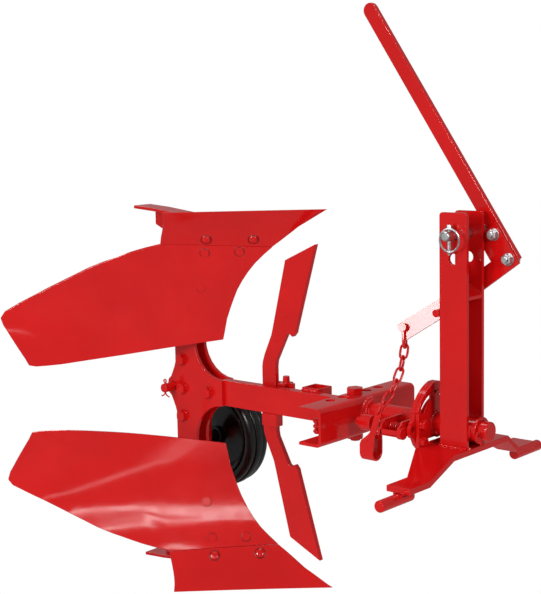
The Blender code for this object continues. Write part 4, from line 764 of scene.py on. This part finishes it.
# Bolts through the leg plates and the beam: along, up
leg_bolts = bmesh.new()
for x, z in ((-0.706, 0.063), (-0.706, -0.002), (-0.628, -0.002), (-0.707, -0.064)):
    add_nut(leg_bolts, spot(x, -0.0400, z), -Y_WAY, 0.022, 0.0090, 0.0135)
    add_nut(leg_bolts, spot(x, -0.0010, z), Y_WAY, 0.022, 0.0110, 0.0135, 0.006)
finish_piece(leg_bolts, "leg_bolts", "turnover", red_enamel, 0.0006)

# Stud nut on the clamp's ear, and the clamp's two bolts on the far side
clamp_bolts = bmesh.new()
add_disc(clamp_bolts, spot(-0.4440, 0.0075, 0.0320), Z_WAY, 0.0080, 0.0160, 24, 0.0070)
for x in (-0.477, -0.425):
    add_nut(clamp_bolts, spot(x, 0.0135, -0.014), Y_WAY, 0.019, 0.0100, 0.0115, 0.005)
finish_piece(clamp_bolts, "clamp_bolts", "turnover", red_enamel, 0.0006)

# ---- Plough bolts
# Bolts with round heads, flush in the moldboards and low domes on the shares. A dark red ring round each head is
# painted shade in the gap there.

# Darker, duller red for the rings round the heads: painted shade of the gaps, not a colour of the paint
gap_shade_enamel = enamel("red_painted_gap_shade", "#5E0708", "#740A0B", low_rough=0.30, high_rough=0.45,
                    peel_height=0.00004)
head_gap_shade = bmesh.new()
plough_bolts = bmesh.new()
# The bolts' places were read along the photograph's sight lines, so each one is cast onto its plate
camera_place = spot(1.3905, -2.1599, 0.6114)
GAP_STEPS = 40
DOME_SHARE = 0.34


def across_ways(way):
    """Two directions square to a way and to each other."""
    first = way.cross(Z_WAY).normalized()
    return first, way.cross(first).normalized()


# Plate, then a place on the upper body's bolt: along, across, up
for word, side in (("upper", 1), ("lower", -1)):
    for node, x, y, z in (
        ("moldboard_", -0.586, -0.084, 0.311), ("moldboard_", -0.533, -0.033, 0.312),
        ("moldboard_", -0.604, -0.079, 0.235), ("share_", -0.563, -0.102, 0.342),
        ("share_", -0.491, -0.035, 0.340),
    ):
        mesh = nodes[node + word].data
        corners = [vertex.co for vertex in mesh.vertices]
        plate = BVHTree.FromPolygons(corners, [face.vertices for face in mesh.polygons])
        sight = (spot(x, y, side * z) - camera_place).normalized()
        place, face = plate.ray_cast(camera_place, sight)[:2]
        # Each head gets a thin dark ring round it, painted shade of its gap, and then the head itself
        if node == "share_":
            shade_ring = ring_points(place + face * 0.0002, 0.0110, *across_ways(face), steps=GAP_STEPS)
            add_sweep(head_gap_shade, shade_ring, [0.0009] * GAP_STEPS, True, 1)
            made = bmesh.ops.create_uvsphere(plough_bolts, u_segments=32, v_segments=12, radius=0.0100)
            dome = standing(place + face * 0.0006, face) @ Matrix.Diagonal((1.0, 1.0, DOME_SHARE, 1.0))
            bmesh.ops.transform(plough_bolts, matrix=dome, verts=made["verts"])
        else:
            shade_ring = ring_points(place + face * 0.0001, 0.0104, *across_ways(face), steps=GAP_STEPS)
            add_sweep(head_gap_shade, shade_ring, [0.0006] * GAP_STEPS, True, 1)
            add_disc(plough_bolts, place - face * 0.0006, face, 0.0098, 0.0013, 36, 0.0090)
finish_piece(plough_bolts, "plough_bolts", "turnover", red_enamel, 0.0004)
# The dark rings round the heads: painted shade of the gaps
finish_piece(head_gap_shade, "plough_bolt_painted_gap_shade", "turnover", gap_shade_enamel, turn_out=False)

# ---- Latch spring
# Coil of 2.4 mm spring wire round the plunger, held between the two uprights of the bracket and painted
# over with them.

SPRING_WIRE = 0.0024
SPRING_TURNS = 7
TURN_STEPS = 28
SPRING_RADIUS = 0.0080
SPRING_REAR = -0.1160
SPRING_LENGTH = 0.0310
spring = bmesh.new()
coil = []
for step in range(SPRING_TURNS * TURN_STEPS + 1):
    turn = math.tau * step / TURN_STEPS
    coil.append(spot(SPRING_REAR + SPRING_LENGTH * step / (SPRING_TURNS * TURN_STEPS),
                     -0.071 + SPRING_RADIUS * math.sin(turn), SPRING_RADIUS * math.cos(turn)))
add_sweep(spring, coil, [SPRING_WIRE / 2] * len(coil), False, 2)
spring_piece = finish_piece(spring, "latch_spring_coil", "turnover", red_enamel, turn_out=False)
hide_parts("latch_spring")

# ---- Split pins
# Half-round wire folded double and pushed through a hole, its eye left standing and its two legs bent
# apart.


def add_split_pin(shape, place, way, side, length, wire):
    """A split pin with its eye before the place and its legs spread beyond the length."""
    eye = 2.2 * wire
    loop = [place - way * (eye * 1.6) + way * eye * math.cos(angle) + side * eye * math.sin(angle)
            for angle in (math.radians(30 + 12 * step) for step in range(26))]
    add_sweep(shape, loop, [wire] * len(loop), False, 2)
    for turn in (-1, 1):
        apart = side * turn * wire * 0.5
        leg = [place - way * eye * 0.8 + apart, place + way * length + apart]
        for step in range(1, 6):
            angle = math.radians(14 * step)
            leg.append(leg[-1] + (way * math.cos(angle) + side * turn * math.sin(angle)) * wire * 1.3)
        leg.append(leg[-1] + (way * 0.35 + side * turn * 0.94) * wire * 3)
        add_sweep(shape, leg, [wire * 0.95] * len(leg), False, 2)


# One through the shaft's front end, with a leg bent down, and one through the wheel's swing pin
SHAFT_WIRE = 0.0022
shaft_pins = bmesh.new()
add_split_pin(shaft_pins, spot(0.0520, -0.0190, -0.0040), Y_WAY, Z_WAY, 0.0300, SHAFT_WIRE)
bent_leg = [spot(0.0520, -0.0205, -0.0050), spot(0.0525, -0.0208, -0.0110), spot(0.0530, -0.0198, -0.0170),
            spot(0.0535, -0.0172, -0.0230)]
add_sweep(shaft_pins, bent_leg, [SHAFT_WIRE] * len(bent_leg), False, 2)
add_split_pin(shaft_pins, spot(-0.735, -0.0660, 0.0100), -Z_WAY, X_WAY, 0.0205, 0.0016)
finish_piece(shaft_pins, "split_pins", "turnover", red_enamel, turn_out=False)

# ---- Gauge wheel: arm, disc and tyre
# Flat steel arm on its pin; a pressed disc in gloss black, dished towards the hub, with a ribbed tyre of
# solid rubber sprung over its rim.

black_enamel = enamel("black_enamel", "#0A0A0B", "#131314", low_rough=0.14, high_rough=0.24,
                      peel_height=0.00005)
# The arm is narrower than in the drawing
ARM_SHARE = 0.70
arm_shape = welded_copy("wheel_arm")
arm_middle = sum(vertex.co.x for vertex in arm_shape.verts) / len(arm_shape.verts)
for vertex in arm_shape.verts:
    vertex.co.x = arm_middle + (vertex.co.x - arm_middle) * ARM_SHARE
arm = finish_piece(arm_shape, "wheel_arm_painted", "wheel_arm", red_enamel, 0.0016, turn_out=False)
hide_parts("wheel_arm")
paint_over("swing_pin", "wheel_arm", 0.0010)
paint_over("wheel_axle", "wheel_arm", 0.0010).data.materials[0] = black_enamel


def rubber(name):
    """Moulded rubber: near black, a satin shine from the mould, pits of about 1 mm and a grey bloom."""
    material, tree, shader, place = start_material(name)
    bloom = add_node(tree, "ShaderNodeTexNoise", {"Scale": 45.0, "Detail": 5.0}, {"Vector": place})
    shade = add_node(tree, "ShaderNodeValToRGB", {}, {"Fac": bloom.outputs["Fac"]})
    set_stops(shade, ((0.30, "#0E0E0F"), (0.75, "#1D1D1F")))
    rough = add_node(tree, "ShaderNodeMapRange", {"To Min": 0.14, "To Max": 0.30},
                     {"Value": bloom.outputs["Fac"]})
    pits = add_node(tree, "ShaderNodeTexNoise", {"Scale": 900.0, "Detail": 2.0}, {"Vector": place})
    relief = add_node(tree, "ShaderNodeBump", {"Strength": 0.3, "Distance": 0.0001},
                      {"Height": pits.outputs["Fac"]})
    tree.links.new(shade.outputs["Color"], shader.inputs["Base Color"])
    tree.links.new(rough.outputs["Result"], shader.inputs["Roughness"])
    tree.links.new(relief.outputs["Normal"], shader.inputs["Normal"])
    shader.inputs["IOR"].default_value = 1.52
    return material


tyre_rubber = rubber("tyre_rubber_moulded")
wheel_low, wheel_high = (Vector(corner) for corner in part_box("wheel_tyre"))
wheel_middle = (wheel_low + wheel_high) / 2
tyre_radius = (wheel_high.z - wheel_low.z) / 2
tyre_half = (wheel_high.y - wheel_low.y) / 2
SPIN_STEPS = 96


def spun(profile):
    """Spin a closed profile of radius and width about the wheel's axle."""
    shape = bmesh.new()
    verts = [shape.verts.new(wheel_middle + Vector((0, along, radius))) for radius, along in profile]
    edges = [shape.edges.new(pair) for pair in zip(verts, verts[1:] + verts[:1])]
    bmesh.ops.spin(shape, geom=verts + edges, cent=wheel_middle, axis=Y_WAY, angle=math.tau, steps=SPIN_STEPS,
                   use_merge=True, use_duplicate=False)
    bmesh.ops.remove_doubles(shape, verts=shape.verts, dist=SAME_WIRE_CORNER)
    return shape


# Tyre section from the near bead over the ribs to the far bead: radius, place across the width
sidewall = [(0.0925, 0.70), (0.0960, 0.93), (0.1040, 1.00), (0.1110, 0.97)]
tyre_profile = [(radius, -tyre_half * fraction) for radius, fraction in sidewall]
RIB_COUNT = 3
# Across one rib: fraction of its width, depth below its crown
RIB_SECTION = ((0.03, 0.0022), (0.09, 0.0008), (0.20, 0.0), (0.80, 0.0), (0.91, 0.0008), (0.97, 0.0022))
# The ribs cover this fraction of the tyre's width
RIBBED = 0.88
rib_pitch = tyre_half * 2 * RIBBED / RIB_COUNT
for rib in range(RIB_COUNT):
    start = -tyre_half * RIBBED + rib * rib_pitch
    # The outer ribs lie 3 mm lower than the middle one
    rib_crown = tyre_radius - 0.0030 * abs(rib - (RIB_COUNT - 1) / 2)
    tyre_profile += [(rib_crown - depth, start + rib_pitch * fraction) for fraction, depth in RIB_SECTION]
tyre_profile += [(radius, tyre_half * fraction) for radius, fraction in reversed(sidewall)]
# The tyre stands out past its rim on the far side, more and more over the first 12 mm from its middle
FAR_WIDER = 0.0080
tyre_profile = [(radius, along + FAR_WIDER * min(1.0, max(0.0, along / 0.012)))
                for radius, along in tyre_profile]
tyre = finish_piece(spun(tyre_profile), "tyre", "wheel", tyre_rubber, 0.0006)
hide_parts("wheel_tyre")

# Disc section from the hub out to the rim flange and back: radius, place across the width
disc_profile = [
    (0.0104, -0.0265), (0.0205, -0.0265), (0.0215, -0.0250), (0.0215, -0.0060), (0.0300, -0.0040),
    (0.0560, 0.0040), (0.0700, 0.0020), (0.0790, -0.0100), (0.0830, -0.0215), (0.0880, -0.0245),
    (0.0918, -0.0240), (0.0918, 0.0240), (0.0880, 0.0245), (0.0830, 0.0215), (0.0800, 0.0060),
    (0.0700, 0.0080), (0.0560, 0.0100), (0.0300, 0.0020), (0.0215, 0.0000), (0.0215, 0.0250),
    (0.0205, 0.0265), (0.0104, 0.0265),
]
disc = finish_piece(spun(disc_profile), "wheel_disc", "wheel", black_enamel, 0.0007)
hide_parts("wheel_rim")
# Bolts behind the disc
DISC_BOLTS = 5
BOLT_CIRCLE = 0.041
disc_bolts = bmesh.new()
for step in range(DISC_BOLTS):
    angle = math.tau * (step + 0.3) / DISC_BOLTS
    place = wheel_middle + Vector((BOLT_CIRCLE * math.cos(angle), 0, BOLT_CIRCLE * math.sin(angle)))
    add_nut(disc_bolts, place + Y_WAY * 0.0060, Y_WAY, 0.013, 0.0060, 0.0080)
finish_piece(disc_bolts, "disc_bolts", "wheel", black_enamel, 0.0004)

# ---- Floor, light and camera
# A pale paper floor that only throws soft light, a white backdrop, large soft lamps, and the camera where
# the photograph was taken from.

paper, tree, shader, place = start_material("studio_paper")
fibre = add_node(tree, "ShaderNodeTexNoise", {"Scale": 3.0, "Detail": 2.0}, {"Vector": place})
shade = add_node(tree, "ShaderNodeValToRGB", {}, {"Fac": fibre.outputs["Fac"]})
set_stops(shade, ((0.3, "#F4F4F4"), (0.7, "#FAFAFA")))
tree.links.new(shade.outputs["Color"], shader.inputs["Base Color"])
shader.inputs["Roughness"].default_value = 0.9
shader.inputs["Specular IOR Level"].default_value = 0.1
shader.inputs["Emission Color"].default_value = linear("#FFFFFF")
shader.inputs["Emission Strength"].default_value = 0.12
FLOOR_RADIUS = 1.9
floor_shape = bmesh.new()
bmesh.ops.create_circle(floor_shape, cap_ends=True, segments=96, radius=FLOOR_RADIUS)
floor_mesh = bpy.data.meshes.new("studio_floor")
floor_shape.to_mesh(floor_mesh)
floor_shape.free()
floor = bpy.data.objects.new("studio_floor", floor_mesh)
floor.location.z = -0.002
floor_mesh.materials.append(paper)
bpy.context.scene.collection.objects.link(floor)
# The picture shows the backdrop in the paper's place, and paint and plating mirror the lamps
floor.visible_camera = False
floor.visible_glossy = False

world = bpy.data.worlds.new("studio")
bpy.context.scene.world = world
world.use_nodes = True
tree = world.node_tree
backdrop = tree.nodes["Background"]
backdrop.inputs["Color"].default_value = linear("#FFFFFF")
# The backdrop shows white, mirrors as a grey and lights the studio only softly
path = add_node(tree, "ShaderNodeLightPath", {})
mirrored = add_node(tree, "ShaderNodeMapRange", {"To Min": 0.10, "To Max": 0.26},
                    {"Value": path.outputs["Is Glossy Ray"]})
level = add_node(tree, "ShaderNodeMapRange", {"To Max": 1.0}, {"Value": path.outputs["Is Camera Ray"],
                                                              "To Min": mirrored.outputs["Result"]})
tree.links.new(level.outputs["Result"], backdrop.inputs["Strength"])

# Lamps: name, place, width, height, power. The two long ones draw bright bands across the lower moldboard.
LAMP_AIM = Vector((0, 0, 0.5))
for name, place, width, height, power in (
    ("key_lamp", (-0.05, -3.10, 1.35), 0.9, 0.9, 43.0),
    ("front_lamp", (2.90, -0.90, 1.60), 0.9, 0.9, 33.0),
    ("top_lamp", (-0.40, 0.20, 3.40), 1.8, 1.8, 34.0),
    ("rear_lamp", (-2.80, 1.50, 2.20), 1.2, 1.2, 20.0),
    ("upper_band_lamp", (1.84, -2.91, 0.91), 0.60, 0.14, 0.6),
    ("lower_band_lamp", (1.50, -2.75, 1.95), 0.80, 0.12, 2.6),
    ("spark_lamp", (-0.60, -3.40, 2.60), 0.35, 0.35, 22.0),
):
    lamp = bpy.data.lights.new(name, "AREA")
    lamp.shape = "RECTANGLE"
    lamp.size = width
    lamp.size_y = height
    lamp.energy = power
    holder = bpy.data.objects.new(name, lamp)
    holder.location = place
    holder.rotation_euler = (LAMP_AIM - Vector(place)).to_track_quat("-Z", "Y").to_euler()
    bpy.context.scene.collection.objects.link(holder)

# Plain screen colours, so that the paint's red stays as deep as it is
bpy.context.scene.view_settings.view_transform = "Standard"

# The camera that was fitted to the photograph
camera_data = bpy.data.cameras.new("camera")
camera_data.sensor_fit = "HORIZONTAL"
camera_data.sensor_width = 36.0
camera_data.lens = 90.6
camera_data.clip_end = 60.0
azimuth, elevation, roll = math.radians(40.85), math.radians(7.89), math.radians(-1.15)
level_right = Vector((math.cos(azimuth), math.sin(azimuth), 0))
ahead = Vector((-math.sin(azimuth) * math.cos(elevation), math.cos(azimuth) * math.cos(elevation),
                -math.sin(elevation)))
level_up = level_right.cross(ahead)
right = level_right * math.cos(roll) + level_up * math.sin(roll)
up = level_up * math.cos(roll) - level_right * math.sin(roll)
camera = bpy.data.objects.new("camera", camera_data)
turn = Matrix((right, up, -ahead)).transposed().to_4x4()
camera.matrix_world = Matrix.Translation(camera_place) @ turn
bpy.context.scene.collection.objects.link(camera)
bpy.context.scene.camera = camera
